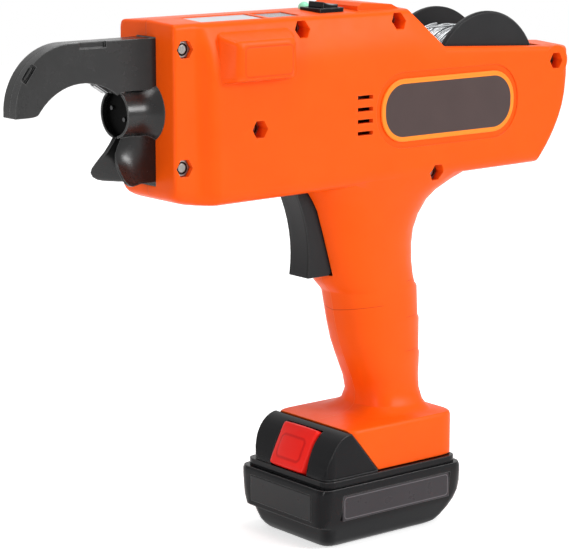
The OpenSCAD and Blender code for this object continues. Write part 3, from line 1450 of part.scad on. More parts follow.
module pack_latch() {
    color("#E8322C") latch_frame() difference() {
        translate([-latch_length / 2, -latch_width / 2, -play]) cube([latch_length, latch_width, latch_t + play]);
        translate([0, 0, latch_t - latch_floor]) cylinder(r = spring_radius + play, h = far);
        translate([-latch_length * near_share + play, -latch_width * near_share + play, -over])
            cube([2 * (latch_length * near_share - play), 2 * (latch_width * near_share - play), over + play / 2]);
    }
}
latch_spring_length = latch_travel + 2 * latch_floor;
module latch_spring() {
    color("#AEB2B6") latch_frame() tube([for (i = [0:spring_curls * spring_rings]) let (a = 360 * i / spring_rings)
        [(spring_radius - spring_wire) * cos(a), (spring_radius - spring_wire) * sin(a),
        latch_t - latch_floor + spring_wire + (latch_spring_length - 2 * spring_wire) * i / (spring_curls * spring_rings)]],
        spring_wire / 2, spring_sides);
}

left_housing();
right_housing();
case_screws();
case_nuts();
nameplate();
deck_label();
deck_window();
switch_frame();
power_rocker();
status_light();
trigger();
trigger_switch();
trigger_spring();
control_board();
terminal_block();
twist_motor();
motor_end_cap();
motor_shaft();
gearbox_case();
planet_gear_1();
planet_gear_2();
planet_gear_3();
planet_carrier();
twist_head();
hook_pins();
front_bearing();
nose_left();
nose_right();
nose_screws();
wear_blades();
feed_plates();
feed_motor();
feed_pinion();
idler_gear();
idler_pin();
drive_roller();
pressure_arm();
pressure_roller();
pressure_pin();
pressure_spring();
wire_tube();
tie_wire();
cutter_die();
cutter_lever();
wire_reel();
wire_core();
wire_winding();
reel_pin();
reel_plunger();
pack_lower_case();
pack_upper_case();
pack_cells();
pack_contacts();
pack_labels();
pack_screws();
pack_latch();
latch_spring();
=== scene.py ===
import json
import math

import bpy
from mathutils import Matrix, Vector


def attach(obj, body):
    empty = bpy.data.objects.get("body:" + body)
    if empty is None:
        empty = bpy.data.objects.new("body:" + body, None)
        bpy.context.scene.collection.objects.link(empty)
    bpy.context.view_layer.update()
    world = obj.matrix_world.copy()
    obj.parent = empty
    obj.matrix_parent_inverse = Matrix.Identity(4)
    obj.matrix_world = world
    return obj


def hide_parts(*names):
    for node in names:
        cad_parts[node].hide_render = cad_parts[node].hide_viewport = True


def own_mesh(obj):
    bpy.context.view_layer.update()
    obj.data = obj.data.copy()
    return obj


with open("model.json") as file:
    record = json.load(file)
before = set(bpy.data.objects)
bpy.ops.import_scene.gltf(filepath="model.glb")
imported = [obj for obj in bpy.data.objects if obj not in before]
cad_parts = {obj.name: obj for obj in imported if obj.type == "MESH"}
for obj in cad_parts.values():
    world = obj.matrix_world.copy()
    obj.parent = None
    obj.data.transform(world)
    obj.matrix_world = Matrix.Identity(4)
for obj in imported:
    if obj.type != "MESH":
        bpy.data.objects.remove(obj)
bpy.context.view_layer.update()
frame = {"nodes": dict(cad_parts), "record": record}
nodes = frame["nodes"]
rides_on = {}
for body, members in frame["record"]["behaviour"]["bodies"].items():
    for member in members:
        rides_on[member] = body
slot_of_node = {}
for sub in frame["record"]["subparts"]:
    slot_of_node[sub["node"]] = sub["material_slot"]

# The way that the latch faces
latch_out = Vector((-0.8934, 0.0, 0.4493))


# The camera stands where the photograph was taken from
def photo_camera():
    azimuth = math.radians(-38.7)
    elevation = math.radians(11.2)
    distance = 0.989
    aim = Vector((-0.037, 0.0, 0.1183))
    level = math.cos(elevation)
    back = Vector((math.sin(azimuth) * level, -math.cos(azimuth) * level, math.sin(elevation)))
    data = bpy.data.cameras.new("photo_camera")
    data.sensor_fit = "HORIZONTAL"
    data.sensor_width = 36.0
    data.lens = 145.5
    data.clip_start = 0.01
    data.clip_end = 50.0
    camera = bpy.data.objects.new("photo_camera", data)
    bpy.context.scene.collection.objects.link(camera)
    camera.location = aim + back * distance
    camera.rotation_euler = (-back).to_track_quat("-Z", "Y").to_euler()
    bpy.context.scene.camera = camera


# Selecting and modelling helpers
def alone(piece):
    bpy.ops.object.select_all(action="DESELECT")
    piece.select_set(True)
    bpy.context.view_layer.objects.active = piece


def start_edit(piece, kind):
    alone(piece)
    bpy.ops.object.mode_set(mode="EDIT")
    bpy.ops.mesh.select_mode(type=kind)


def end_edit():
    bpy.ops.object.mode_set(mode="OBJECT")


# Points that meet are merged and the faces turned outwards
def close_up():
    merge_distance = 0.000002
    bpy.ops.mesh.remove_doubles(threshold=merge_distance)
    bpy.ops.mesh.normals_make_consistent(inside=False)
    end_edit()


def pick_faces(piece, wanted):
    bpy.ops.mesh.select_all(action="DESELECT")
    bpy.ops.object.mode_set(mode="OBJECT")
    for face in piece.data.polygons:
        face.select = wanted(face)
    bpy.ops.object.mode_set(mode="EDIT")


def settle(piece):
    alone(piece)
    bpy.ops.object.transform_apply(location=True, rotation=True, scale=True)


# A box turned about Y, with its size along its own axes
def new_box(name, middle, turn, size):
    bpy.ops.object.select_all(action="DESELECT")
    bpy.ops.mesh.primitive_cube_add(size=1.0, location=middle, rotation=(0.0, turn, 0.0))
    piece = bpy.context.object
    piece.name = name
    piece.scale = size
    settle(piece)
    return piece


def soften(piece, width, steps):
    alone(piece)
    bevel = piece.modifiers.new("soft_edges", "BEVEL")
    bevel.width = width
    bevel.segments = steps
    bevel.limit_method = "ANGLE"
    bevel.angle_limit = math.radians(50)
    bpy.ops.object.modifier_apply(modifier=bevel.name)


def smooth(piece, angle):
    alone(piece)
    bpy.ops.object.shade_smooth_by_angle(angle=math.radians(angle))
    even = piece.modifiers.new("even_shading", "WEIGHTED_NORMAL")
    even.keep_sharp = True
    bpy.ops.object.modifier_apply(modifier=even.name)


# A piece gets the finish of a node, chosen by its slot, and rides on the node's body
def wear(piece, node):
    body = rides_on[node]
    piece.data.materials.clear()
    piece.data.materials.append(node_finish(node))
    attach(piece, body)


# A copy of a node that stands for it, merged and smoothed, with its edges rounded where a width is given
def dressed(node, edge=0.0, steps=2):
    merge_distance = 0.000004
    flat = math.radians(0.3)
    piece = bpy.data.objects.new(node + "_dressed", nodes[node].data.copy())
    bpy.context.scene.collection.objects.link(piece)
    alone(piece)
    bpy.ops.mesh.customdata_custom_splitnormals_clear()
    start_edit(piece, "VERT")
    bpy.ops.mesh.select_all(action="SELECT")
    bpy.ops.mesh.remove_doubles(threshold=merge_distance)
    if edge > 0:
        bpy.ops.mesh.dissolve_limited(angle_limit=flat)
    end_edit()
    if edge > 0:
        soften(piece, edge, steps)
    smooth(piece, angle=32)
    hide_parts(node)
    wear(piece, node)
    return piece


# Shader effects that several finishes share
def shared_effect(name, inputs, outputs):
    tree = bpy.data.node_groups.new(name, "ShaderNodeTree")
    for label, value in inputs:
        socket = tree.interface.new_socket(label, in_out="INPUT", socket_type="NodeSocketFloat")
        socket.default_value = value
    for label, kind in outputs:
        tree.interface.new_socket(label, in_out="OUTPUT", socket_type=kind)
    start = tree.nodes.new("NodeGroupInput")
    end = tree.nodes.new("NodeGroupOutput")
    return tree, start, end


def maths_node(tree, operation, *values):
    node = tree.nodes.new("ShaderNodeMath")
    node.operation = operation
    for socket, value in zip(node.inputs, values):
        if isinstance(value, (int, float)):
            socket.default_value = value
        else:
            tree.links.new(value, socket)
    return node.outputs["Value"]


def make_moulded_skin():
    tree, start, end = shared_effect(
        "moulded_skin",
        [("Grain", 2600.0), ("Cloud", 45.0)],
        [("Height", "NodeSocketFloat"), ("Tone", "NodeSocketFloat"), ("Rub", "NodeSocketFloat")],
    )
    place = tree.nodes.new("ShaderNodeTexCoord")
    grain = tree.nodes.new("ShaderNodeTexNoise")
    grain.inputs["Detail"].default_value = 3.0
    cloud = tree.nodes.new("ShaderNodeTexNoise")
    cloud.inputs["Detail"].default_value = 4.0
    rub = tree.nodes.new("ShaderNodeTexNoise")
    rub.inputs["Scale"].default_value = 160.0
    rub.inputs["Detail"].default_value = 6.0
    for noise in (grain, cloud, rub):
        tree.links.new(place.outputs["Object"], noise.inputs["Vector"])
    tree.links.new(start.outputs["Grain"], grain.inputs["Scale"])
    tree.links.new(start.outputs["Cloud"], cloud.inputs["Scale"])
    tree.links.new(grain.outputs["Fac"], end.inputs["Height"])
    tree.links.new(cloud.outputs["Fac"], end.inputs["Tone"])
    tree.links.new(rub.outputs["Fac"], end.inputs["Rub"])
    return tree


# The mask of edges, on which plastic finishes paint a highlight, and the normal of a rounded edge
def make_rounded_edge():
    tree, start, end = shared_effect(
        "rounded_edge",
        [("Radius", 0.0006), ("Gain", 2.5)],
        [("Edge", "NodeSocketFloat"), ("Normal", "NodeSocketVector")],
    )
    round_over = tree.nodes.new("ShaderNodeBevel")
    round_over.samples = 6
    surface = tree.nodes.new("ShaderNodeNewGeometry")
    facing = tree.nodes.new("ShaderNodeVectorMath")
    facing.operation = "DOT_PRODUCT"
    tree.links.new(start.outputs["Radius"], round_over.inputs["Radius"])
    tree.links.new(round_over.outputs["Normal"], facing.inputs[0])
    tree.links.new(surface.outputs["Normal"], facing.inputs[1])
    turn = maths_node(tree, "SUBTRACT", 1.0, facing.outputs["Value"])
    gain = maths_node(tree, "MULTIPLY", turn, start.outputs["Gain"])
    tree.links.new(maths_node(tree, "MINIMUM", gain, 1.0), end.inputs["Edge"])
    tree.links.new(round_over.outputs["Normal"], end.inputs["Normal"])
    return tree


def make_drawn_metal():
    tree, start, end = shared_effect(
        "drawn_metal",
        [("Streak", 900.0)],
        [("Height", "NodeSocketFloat"), ("Tone", "NodeSocketFloat")],
    )
    place = tree.nodes.new("ShaderNodeTexCoord")
    stretch = tree.nodes.new("ShaderNodeMapping")
    stretch.inputs["Scale"].default_value = (0.06, 1.0, 1.0)
    streak = tree.nodes.new("ShaderNodeTexNoise")
    streak.inputs["Detail"].default_value = 5.0
    spots = tree.nodes.new("ShaderNodeTexNoise")
    spots.inputs["Scale"].default_value = 240.0
    spots.inputs["Detail"].default_value = 3.0
    tree.links.new(place.outputs["Object"], stretch.inputs["Vector"])
    tree.links.new(stretch.outputs["Vector"], streak.inputs["Vector"])
    tree.links.new(place.outputs["Object"], spots.inputs["Vector"])
    tree.links.new(start.outputs["Streak"], streak.inputs["Scale"])
    tree.links.new(streak.outputs["Fac"], end.inputs["Height"])
    tree.links.new(spots.outputs["Fac"], end.inputs["Tone"])
    return tree


# How far a point lies outside a rounded rectangle; less than nothing is inside it
def make_panel_outline():
    tree, start, end = shared_effect(
        "panel_outline",
        [("Across", 0.0), ("Up", 0.0), ("Middle across", 0.0), ("Middle up", 0.0),
         ("Half across", 0.01), ("Half up", 0.01), ("Round", 0.002)],
        [("Depth", "NodeSocketFloat")],
    )
    reach = []
    for side in ("Across", "Up"):
        off = maths_node(tree, "SUBTRACT", start.outputs[side], start.outputs["Middle " + side.lower()])
        half = maths_node(tree, "SUBTRACT", start.outputs["Half " + side.lower()], start.outputs["Round"])
        reach.append(maths_node(tree, "SUBTRACT", maths_node(tree, "ABSOLUTE", off), half))
    squares = []
    for value in reach:
        out = maths_node(tree, "MAXIMUM", value, 0.0)
        squares.append(maths_node(tree, "MULTIPLY", out, out))
    outside = maths_node(tree, "SQRT", maths_node(tree, "ADD", squares[0], squares[1]))
    inside = maths_node(tree, "MINIMUM", maths_node(tree, "MAXIMUM", reach[0], reach[1]), 0.0)
    total = maths_node(tree, "ADD", outside, inside)
    tree.links.new(maths_node(tree, "SUBTRACT", total, start.outputs["Round"]), end.inputs["Depth"])
    return tree


moulded_skin = make_moulded_skin()
rounded_edge = make_rounded_edge()
drawn_metal = make_drawn_metal()
panel_outline = make_panel_outline()


# Building blocks of a finish
class Finish:
    def __init__(self, name):
        self.material = bpy.data.materials.new(name)
        self.material.use_nodes = True
        self.tree = self.material.node_tree
        self.shader = self.tree.nodes["Principled BSDF"]

    def add(self, kind):
        return self.tree.nodes.new(kind)

    def group(self, tree, **values):
        node = self.add("ShaderNodeGroup")
        node.node_tree = tree
        for label, value in values.items():
            node.inputs[label].default_value = value
        return node

    def join(self, source, target):
        self.tree.links.new(source, target)

    def maths(self, operation, *values):
        return maths_node(self.tree, operation, *values)

    def place(self):
        coords = self.add("ShaderNodeTexCoord")
        split = self.add("ShaderNodeSeparateXYZ")
        self.join(coords.outputs["Object"], split.inputs["Vector"])
        return split.outputs["X"], split.outputs["Y"], split.outputs["Z"]

    def blend(self, factor, first, second):
        mix = self.add("ShaderNodeMix")
        mix.data_type = "RGBA"
        self.join(factor, mix.inputs["Factor"])
        for value, socket in ((first, mix.inputs["A"]), (second, mix.inputs["B"])):
            if isinstance(value, tuple):
                socket.default_value = (*value, 1.0)
            else:
                self.join(value, socket)
        return mix.outputs["Result"]

    # Goes from the first value to the last one while the source goes from start to stop
    def span(self, source, first, last, start=0.3, stop=0.7):
        reach = self.add("ShaderNodeMapRange")
        reach.inputs["From Min"].default_value = start
        reach.inputs["From Max"].default_value = stop
        reach.inputs["To Min"].default_value = first
        reach.inputs["To Max"].default_value = last
        self.join(source, reach.inputs["Value"])
        return reach.outputs["Result"]

    # One on a line of the given half width, falling to nothing beside it
    def line(self, source, middle, half, soft):
        off = self.maths("ABSOLUTE", self.maths("SUBTRACT", source, middle))
        return self.span(off, 1.0, 0.0, half, half + soft)

    def beyond(self, source, start, soft):
        return self.span(source, 0.0, 1.0, start, start + soft)

    # How far a point lies from a middle, seen along one axis
    def away(self, across, up, middle):
        off_across = self.maths("SUBTRACT", across, middle[0])
        off_up = self.maths("SUBTRACT", up, middle[1])
        square_up = self.maths("MULTIPLY", off_up, off_up)
        return self.maths("SQRT", self.maths("MULTIPLY_ADD", off_across, off_across, square_up))

    def panel(self, across, up, middle, half, corner):
        node = self.group(panel_outline, Round=corner)
        self.join(across, node.inputs["Across"])
        self.join(up, node.inputs["Up"])
        node.inputs["Middle across"].default_value = middle[0]
        node.inputs["Middle up"].default_value = middle[1]
        node.inputs["Half across"].default_value = half[0]
        node.inputs["Half up"].default_value = half[1]
        return node.outputs["Depth"]

    def bump(self, height, strength, distance, normal):
        relief = self.add("ShaderNodeBump")
        relief.inputs["Strength"].default_value = strength
        relief.inputs["Distance"].default_value = distance
        self.join(height, relief.inputs["Height"])
        self.join(normal, relief.inputs["Normal"])
        self.join(relief.outputs["Normal"], self.shader.inputs["Normal"])


# A mark on plastic is a mask, the colour it gives and how far it sinks
def moulded(name, dark, light, edge, rough, depth=0.12, radius=0.0006, specular=0.5, marks=None):
    finish = Finish(name)
    skin = finish.group(moulded_skin)
    rim = finish.group(rounded_edge, Radius=radius, Gain=2.2)
    tone = finish.blend(finish.span(skin.outputs["Tone"], 0.0, 1.0), dark, light)
    # The edge tone is a painted highlight along the edges
    colour = finish.blend(rim.outputs["Edge"], tone, edge)
    height = skin.outputs["Height"]
    if marks is not None:
        for mask, shade, sink in marks(finish):
            colour = finish.blend(mask, colour, shade)
            height = finish.maths("MULTIPLY_ADD", mask, -sink, height)
    finish.join(colour, finish.shader.inputs["Base Color"])
    roughness = finish.span(skin.outputs["Rub"], first=rough - 0.04, last=rough + 0.05)
    finish.join(roughness, finish.shader.inputs["Roughness"])
    finish.shader.inputs["Specular IOR Level"].default_value = specular
    finish.bump(height, strength=depth, distance=0.0002, normal=rim.outputs["Normal"])
    return finish.material


# A mark on metal is a mask and the colour it gives
def metal(name, dark, light, rough, marks=None):
    finish = Finish(name)
    drawn = finish.group(drawn_metal)
    rim = finish.group(rounded_edge, Radius=0.0003, Gain=1.6)
    colour = finish.blend(finish.span(drawn.outputs["Tone"], 0.0, 1.0), dark, light)
    if marks is not None:
        for mask, shade in marks(finish):
            colour = finish.blend(mask, colour, shade)
    finish.join(colour, finish.shader.inputs["Base Color"])
    finish.shader.inputs["Metallic"].default_value = 1.0
    roughness = finish.span(drawn.outputs["Tone"], first=rough - 0.05, last=rough + 0.08)
    finish.join(roughness, finish.shader.inputs["Roughness"])
    finish.bump(drawn.outputs["Height"], strength=0.08, distance=0.0001, normal=rim.outputs["Normal"])
    return finish.material


# The housing has its parting line, and the line inside the pad and the faint lines across the grip, which
# sink a little and are drawn darker as painted shade
def orange_marks(finish):
    x, y, z = finish.place()
    aside = finish.maths("ABSOLUTE", y)
    on_body = finish.beyond(z, start=0.1580, soft=0.0040)
    seam = finish.line(y, middle=0.0, half=0.00008, soft=0.00010)
    parting = finish.maths("MULTIPLY", seam, on_body)
    pad = finish.panel(x, z, middle=(-0.0682, 0.2146), half=(0.0122, 0.0060), corner=0.0018)
    on_pad = finish.beyond(aside, start=0.0275, soft=0.0004)
    pad_edge = finish.line(pad, middle=0.0, half=0.0002, soft=0.0002)
    pad_line_shade = finish.maths("MULTIPLY", pad_edge, on_pad)
    marks = [
        (parting, (0.80, 0.068, 0.0025), 0.8),
        # The pad line is drawn darker as painted shade
        (pad_line_shade, (0.80, 0.070, 0.004), 1.0),
    ]
    front_rise = 0.14
    front_level = finish.maths("MULTIPLY_ADD", aside, -front_rise, z)
    at_front = finish.span(x, first=1.0, last=0.0, start=0.0055, stop=0.0065)
    at_back = finish.beyond(x, start=0.0190, soft=0.0020)
    grip_shade_lines = [(front_level, 0.0992, at_front)]
    for height in (0.0788, 0.0943, 0.1105):
        grip_shade_lines.append((z, height, at_back))
    for source, height, where in grip_shade_lines:
        # Each grip line is drawn darker as painted shade
        across = finish.line(source, middle=height, half=0.00012, soft=0.00012)
        marks.append((finish.maths("MULTIPLY", across, where), (0.72, 0.056, 0.004), 1.0))
    return marks


# The nose has its parting line, and painted shade in the bore round the twist head
def nose_marks(finish):
    x, y, z = finish.place()
    barrel_axis = (0.0, 0.1946)
    parting = finish.line(y, middle=0.0, half=0.00010, soft=0.00012)
    radius = finish.away(y, z, barrel_axis)
    in_bore = finish.span(radius, first=1.0, last=0.0, start=0.0093, stop=0.0095)
    along = finish.line(x, middle=-0.1200, half=0.0080, soft=0.0004)
    # The bore is painted black as shade
    bore_shade = finish.maths("MULTIPLY", in_bore, along)
    return [
        (bore_shade, (0.004, 0.004, 0.004), 0.0),
        (parting, (0.006, 0.006, 0.006), 2.0),
    ]


# The trigger has a groove along each edge of its front, sunk a little and drawn darker as painted shade
def trigger_marks(finish):
    _, y, _ = finish.place()
    shaded_groove = finish.line(finish.maths("ABSOLUTE", y), middle=0.0057, half=0.0003, soft=0.0004)
    return [(shaded_groove, (0.002, 0.002, 0.002), 2.0)]


# The blades are dark, with two bright ground lines above their lower edge
def blade_marks(finish):
    x, _, z = finish.place()
    up_x = 0.5391
    up_z = 0.8423
    lower_edge = 0.10134
    slope = finish.maths("MULTIPLY_ADD", x, up_x, finish.maths("MULTIPLY", z, up_z))
    rise = finish.maths("SUBTRACT", slope, lower_edge)
    lower = finish.line(rise, middle=0.00010, half=0.00022, soft=0.00006)
    upper = finish.line(rise, middle=0.00088, half=0.00012, soft=0.00006)
    return [
        (lower, (0.78, 0.79, 0.80), -1.0),
        (upper, (0.70, 0.71, 0.72), -1.0),
    ]


# Each nut has painted shade in a ring round the end of its screw
def nut_marks(finish):
    x, _, z = finish.place()
    marks = []
    for screw in (
        (-0.1034, 0.1727), (-0.1028, 0.2204), (-0.0680, 0.1860), (-0.0438, 0.2253),
        (0.0094, 0.2259), (0.0308, 0.1588), (0.1021, 0.2033),
    ):
        # Each ring is painted shade
        shade_ring = finish.line(finish.away(x, z, screw), middle=0.00225, half=0.00030, soft=0.00010)
        marks.append((shade_ring, (0.012, 0.011, 0.010)))
    return marks


# The nameplate has a border in a lighter orange
def nameplate_marks(finish):
    x, _, z = finish.place()
    depth = finish.panel(x, z, middle=(0.0365, 0.1878), half=(0.0390, 0.0136), corner=0.0126)
    border = finish.beyond(depth, start=-0.0022, soft=0.00012)
    return [(border, (1.0, 0.26, 0.018), -2.0)]


# The pack's side plates have a thin outline; the front plate is as dark as the case
def pack_label_marks(finish):
    x, y, z = finish.place()
    depth = finish.panel(x, z, middle=(0.0029, 0.0185), half=(0.0310, 0.0057), corner=0.0025)
    on_side = finish.beyond(finish.maths("ABSOLUTE", y), start=0.0245, soft=0.0004)
    thin_line = finish.line(depth, middle=-0.0010, half=0.00012, soft=0.00010)
    outline = finish.maths("MULTIPLY", thin_line, on_side)
    front = finish.maths("SUBTRACT", 1.0, on_side)
    return [
        (front, (0.006, 0.006, 0.007), 0.0),
        (outline, (0.13, 0.12, 0.13), -1.0),
    ]


# The latch has a rounded rectangle let into its face, sunk a little and drawn darker as painted shade
def latch_marks(finish):
    x, y, z = finish.place()
    slope = finish.maths("MULTIPLY_ADD", x, -latch_out.z, finish.maths("MULTIPLY", z, latch_out.x))
    depth = finish.panel(y, slope, middle=(0.0, -0.0212), half=(0.0078, 0.0052), corner=0.0022)
    shaded_groove = finish.line(depth, middle=0.0, half=0.00020, soft=0.00070)
    return [(shaded_groove, (0.66, 0.009, 0.007), 3.0)]


# Each finish has a dark and a light tone, plastic has a lighter tone for its edges too, which is a painted
# highlight, and then a roughness
orange_plastic = moulded(
    "orange_plastic", (0.97, 0.098, 0.0030), (1.0, 0.106, 0.0040), (1.0, 0.19, 0.03), 0.36,
    specular=0.11, marks=orange_marks,
)
nose_plastic = moulded(
    "nose_plastic", (0.010, 0.010, 0.010), (0.013, 0.013, 0.013), (0.20, 0.20, 0.20), 0.25,
    specular=0.34, marks=nose_marks,
)
# Near black for the twist head, painted shade deep in the bore
bore_shade_black = moulded(
    "bore_shade_black", (0.0005, 0.0005, 0.0005), (0.001, 0.001, 0.001), (0.01, 0.01, 0.01), 0.45,
    specular=0.03,
)
blade_steel = moulded(
    "blade_steel", (0.016, 0.016, 0.017), (0.022, 0.022, 0.023), (0.08, 0.08, 0.08), 0.34,
    marks=blade_marks,
)
black_plastic = moulded(
    "black_plastic", (0.003, 0.003, 0.004), (0.005, 0.005, 0.006), (0.20, 0.20, 0.20), 0.14,
    radius=0.0008, specular=0.13,
)
dark_tones = ((0.008, 0.008, 0.009), (0.011, 0.011, 0.012), (0.08, 0.08, 0.08))
dark_plastic = moulded("dark_plastic", *dark_tones, 0.38, specular=0.18)
trigger_plastic = moulded("trigger_plastic", *dark_tones, 0.36, specular=0.18, marks=trigger_marks)
pack_label = moulded(
    "pack_label", (0.022, 0.019, 0.022), (0.027, 0.023, 0.027), (0.10, 0.09, 0.10), 0.30,
    depth=0.04, specular=0.25, marks=pack_label_marks,
)
red_plastic = moulded(
    "red_plastic", (0.88, 0.016, 0.010), (0.93, 0.020, 0.013), (1.0, 0.10, 0.07), 0.34,
    specular=0.15, marks=latch_marks,
)
brown_plate = moulded(
    "brown_plate", (0.055, 0.034, 0.032), (0.065, 0.040, 0.038), (0.20, 0.14, 0.13), 0.40,
    specular=0.22, marks=nameplate_marks,
)
pale_plate = moulded(
    "pale_plate", (0.56, 0.57, 0.60), (0.62, 0.63, 0.66), (0.75, 0.75, 0.77), 0.38,
    specular=0.2,
)
window_plate = moulded(
    "window_plate", (0.19, 0.19, 0.20), (0.23, 0.23, 0.24), (0.4, 0.4, 0.42), 0.24,
)
green_lens = moulded(
    "green_lens", (0.25, 0.78, 0.50), (0.32, 0.86, 0.58), (0.6, 0.95, 0.8), 0.16,
    depth=0.02,
)
gear_plastic = moulded(
    "gear_plastic", (0.66, 0.63, 0.55), (0.72, 0.69, 0.62), (0.85, 0.83, 0.78), 0.40,
)
board_green = moulded(
    "board_green", (0.010, 0.055, 0.022), (0.014, 0.075, 0.030), (0.05, 0.14, 0.07), 0.34,
)
cell_wrap = moulded(
    "cell_wrap", (0.020, 0.100, 0.240), (0.026, 0.125, 0.290), (0.1, 0.25, 0.45), 0.30,
)
zinc_tones = ((0.20, 0.19, 0.18), (0.29, 0.28, 0.27))
nut_steel = metal("nut_steel", *zinc_tones, 0.34, marks=nut_marks)
zinc_steel = metal("zinc_steel", *zinc_tones, 0.34)
ground_steel = metal("ground_steel", (0.40, 0.41, 0.43), (0.52, 0.53, 0.55), 0.28)
# A dimmed steel for the pins, painted shade in the bore
bore_shade_steel = metal("bore_shade_steel", (0.060, 0.060, 0.062), (0.085, 0.085, 0.088), 0.36)
wire_steel = metal("wire_steel", (0.34, 0.35, 0.36), (0.48, 0.49, 0.50), 0.30)
# A dimmed wire for the core, painted shade between the turns
gap_shade_wire = metal("gap_shade_wire", (0.05, 0.05, 0.05), (0.08, 0.08, 0.08), 0.40)
motor_steel = metal("motor_steel", (0.26, 0.27, 0.29), (0.34, 0.35, 0.37), 0.34)
brass_metal = metal("brass_metal", (0.62, 0.44, 0.16), (0.72, 0.53, 0.22), 0.30)

finish_of_slot = {
    "orange": orange_plastic,
    "nose_black": nose_plastic,
    "black": black_plastic,
    "dark": dark_plastic,
    "red": red_plastic,
    "plate": brown_plate,
    "pale_plate": pale_plate,
    "lens": green_lens,
    "zinc": zinc_steel,
    "steel": ground_steel,
    "wire": wire_steel,
    "motor": motor_steel,
    "brass": brass_metal,
    "gear_plastic": gear_plastic,
    "board": board_green,
    "cell": cell_wrap,
}
finish_of_node = {
    "twist_head": bore_shade_black,
    "wear_blades": blade_steel,
    "pack_labels": pack_label,
    "deck_window": window_plate,
    "wire_core": gap_shade_wire,
    "hook_pins": bore_shade_steel,
    "case_nuts": nut_steel,
    "trigger": trigger_plastic,
}


def node_finish(node):
    return finish_of_node.get(node, finish_of_slot[slot_of_node[node]])


def finish_nodes():
    for name, node in nodes.items():
        node.data.materials.clear()
        node.data.materials.append(node_finish(name))


# A ring drawn out into a coil round the reel
def wire_layer(name, radius, turns):
    reel_centre = (0.0633, 0.0, 0.1958)
    half_width = 0.0154
    wire = 0.00045
    steps = 64
    bpy.ops.object.select_all(action="DESELECT")
    bpy.ops.mesh.primitive_circle_add(
        vertices=10,
        radius=wire,
        location=(0.0, wire - half_width, radius),
        rotation=(0.0, math.pi / 2, 0.0),
    )
    piece = bpy.context.object
    piece.name = name
    settle(piece)
    coil = piece.modifiers.new("coil", "SCREW")
    coil.axis = "Y"
    coil.angle = 2 * math.pi
    coil.iterations = turns
    coil.screw_offset = (2 * half_width - 2 * wire) / turns
    coil.steps = steps
    coil.render_steps = steps
    coil.use_smooth_shade = True
    bpy.ops.object.modifier_apply(modifier=coil.name)
    piece.location = reel_centre
    settle(piece)
    start_edit(piece, "EDGE")
    bpy.ops.mesh.select_all(action="SELECT")
    close_up()
    return piece


# The wound wire lies in close turns over the core, which is painted dark as shade between the turns, with a
# few loose turns across them
def wound_wire():
    piece = wire_layer("wound_wire", radius=0.0230, turns=21)
    loose = wire_layer("loose_turns", radius=0.0239, turns=5)
    alone(piece)
    loose.select_set(True)
    bpy.ops.object.join()
    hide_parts("wire_winding")
    wear(piece, "wire_winding")


# The trigger's spring, which closes up as the trigger is pulled, gets a dressed copy with a mesh of its own
def trigger_return():
    piece = dressed("trigger_spring")
    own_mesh(piece)


# The latch is a cushion of plastic that swells out of the case
def swollen_latch():
    face_middle = Vector((-0.0319, 0.0, 0.0408))
    sunk = 0.0029
    swelling = 0.0010
    facing = 0.99
    piece = new_box(
        "swollen_latch",
        middle=face_middle - latch_out * sunk,
        turn=math.radians(116.7),
        size=(0.0204, 0.0236, 0.0082),
    )
    start_edit(piece, "EDGE")
    bpy.ops.mesh.select_all(action="SELECT")
    bpy.ops.mesh.bevel(offset=0.0018, segments=2, affect="EDGES")
    pick_faces(piece, lambda face: face.normal.dot(latch_out) > facing)
    bpy.ops.mesh.inset(thickness=0.004)
    bpy.ops.transform.translate(value=latch_out * swelling)
    bpy.ops.mesh.select_all(action="SELECT")
    bpy.ops.mesh.normals_make_consistent(inside=False)
    end_edit()
    swell = piece.modifiers.new("swell", "SUBSURF")
    swell.levels = 2
    swell.render_levels = 2
    bpy.ops.object.modifier_apply(modifier=swell.name)
    smooth(piece, angle=60)
    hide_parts("pack_latch")
    wear(piece, "pack_latch")


# A small rounded bar lies in the second notch of the curl guide
def guide_bar():
    curl_x = -0.1474
    curl_z = 0.1985
    notch_y = -0.0039
    reach = 0.0250
    angle = math.radians(142)
    middle = (curl_x + reach * math.cos(angle), notch_y, curl_z + reach * math.sin(angle))
    piece = new_box("guide_bar", middle, turn=-angle, size=(0.0010, 0.0008, 0.0056))
    start_edit(piece, "EDGE")
    bpy.ops.mesh.select_all(action="SELECT")
    bpy.ops.mesh.bevel(offset=0.00035, segments=4, affect="EDGES")
    close_up()
    smooth(piece, angle=40)
    wear(piece, "nose_left")


# One for the rays that show the background: straight, mirrored or through glass
def background_rays(tree):
    path = tree.nodes.new("ShaderNodeLightPath")
    mirror = maths_node(tree, "MAXIMUM", path.outputs["Is Glossy Ray"], path.outputs["Is Transmission Ray"])
    return maths_node(tree, "MAXIMUM", path.outputs["Is Camera Ray"], mirror)


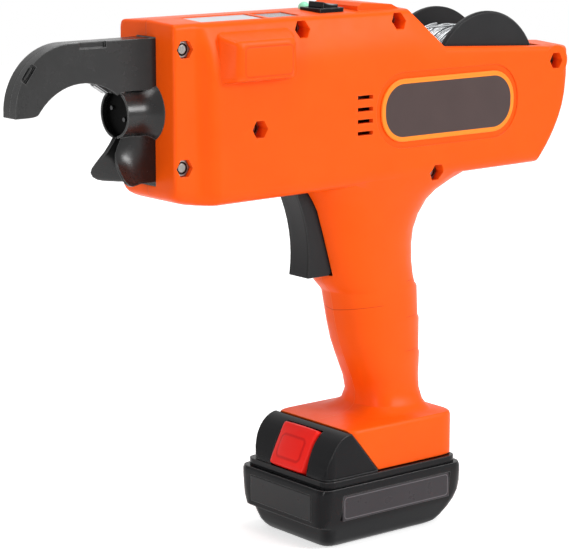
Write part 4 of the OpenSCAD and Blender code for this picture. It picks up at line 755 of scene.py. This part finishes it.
# The floor, the white surround and the lamps
def studio():
    white = (1.0, 1.0, 1.0, 1.0)
    world = bpy.data.worlds.new("white_surround")
    bpy.context.scene.world = world
    world.use_nodes = True
    tree = world.node_tree
    back = tree.nodes["Background"]
    back.inputs["Color"].default_value = white
    level = tree.nodes.new("ShaderNodeMapRange")
    level.inputs["To Min"].default_value = 0.42
    level.inputs["To Max"].default_value = 1.0
    tree.links.new(background_rays(tree), level.inputs["Value"])
    tree.links.new(level.outputs["Result"], back.inputs["Strength"])

    floor_z = -0.0004
    bpy.ops.object.select_all(action="DESELECT")
    bpy.ops.mesh.primitive_circle_add(
        vertices=96, radius=2.0, fill_type="NGON", location=(0.0, 0.0, floor_z),
    )
    floor = bpy.context.object
    floor.name = "pale_floor"
    settle(floor)
    paper = Finish("white_paper")
    paper.shader.inputs["Base Color"].default_value = (0.86, 0.86, 0.86, 1.0)
    paper.shader.inputs["Roughness"].default_value = 0.7
    glow = paper.span(background_rays(paper.tree), first=0.0, last=0.6, start=0.0, stop=1.0)
    paper.shader.inputs["Emission Color"].default_value = white
    paper.join(glow, paper.shader.inputs["Emission Strength"])
    floor.data.materials.append(paper.material)

    aim = Vector((0.0, 0.0, 0.12))
    for name, place, width, height, power in (
        ("key_lamp", (0.80, -1.30, 0.75), 0.5, 0.5, 14.0),
        ("strip_lamp", (-1.10, -0.57, 0.34), 0.16, 0.6, 3.4),
        ("top_lamp", (0.10, -0.15, 1.5), 0.6, 0.6, 10.0),
    ):
        data = bpy.data.lights.new(name, "AREA")
        data.shape = "RECTANGLE"
        data.size = width
        data.size_y = height
        data.energy = power
        lamp = bpy.data.objects.new(name, data)
        bpy.context.scene.collection.objects.link(lamp)
        lamp.location = place
        lamp.rotation_euler = (aim - Vector(place)).to_track_quat("-Z", "Y").to_euler()


bpy.context.scene.view_settings.view_transform = "Standard"
photo_camera()
studio()
finish_nodes()

# The edges of these nodes stay as they are in the CAD
for name in ("left_housing", "right_housing", "nose_left", "nose_right", "pack_lower_case"):
    dressed(name)
# These have their edges rounded, with the width and the steps given
for name, edge, steps in (
    ("pack_upper_case", 0.0012, 3),
    ("pack_labels", 0.0003, 2),
    ("wire_reel", 0.0004, 2),
    ("trigger", 0.0009, 3),
    ("nameplate", 0.0003, 2),
    ("case_nuts", 0.0005, 2),
    ("case_screws", 0.0004, 2),
    ("power_rocker", 0.0004, 2),
    ("twist_head", 0.0004, 2),
):
    dressed(name, edge, steps)
swollen_latch()
wound_wire()
trigger_return()
guide_bar()
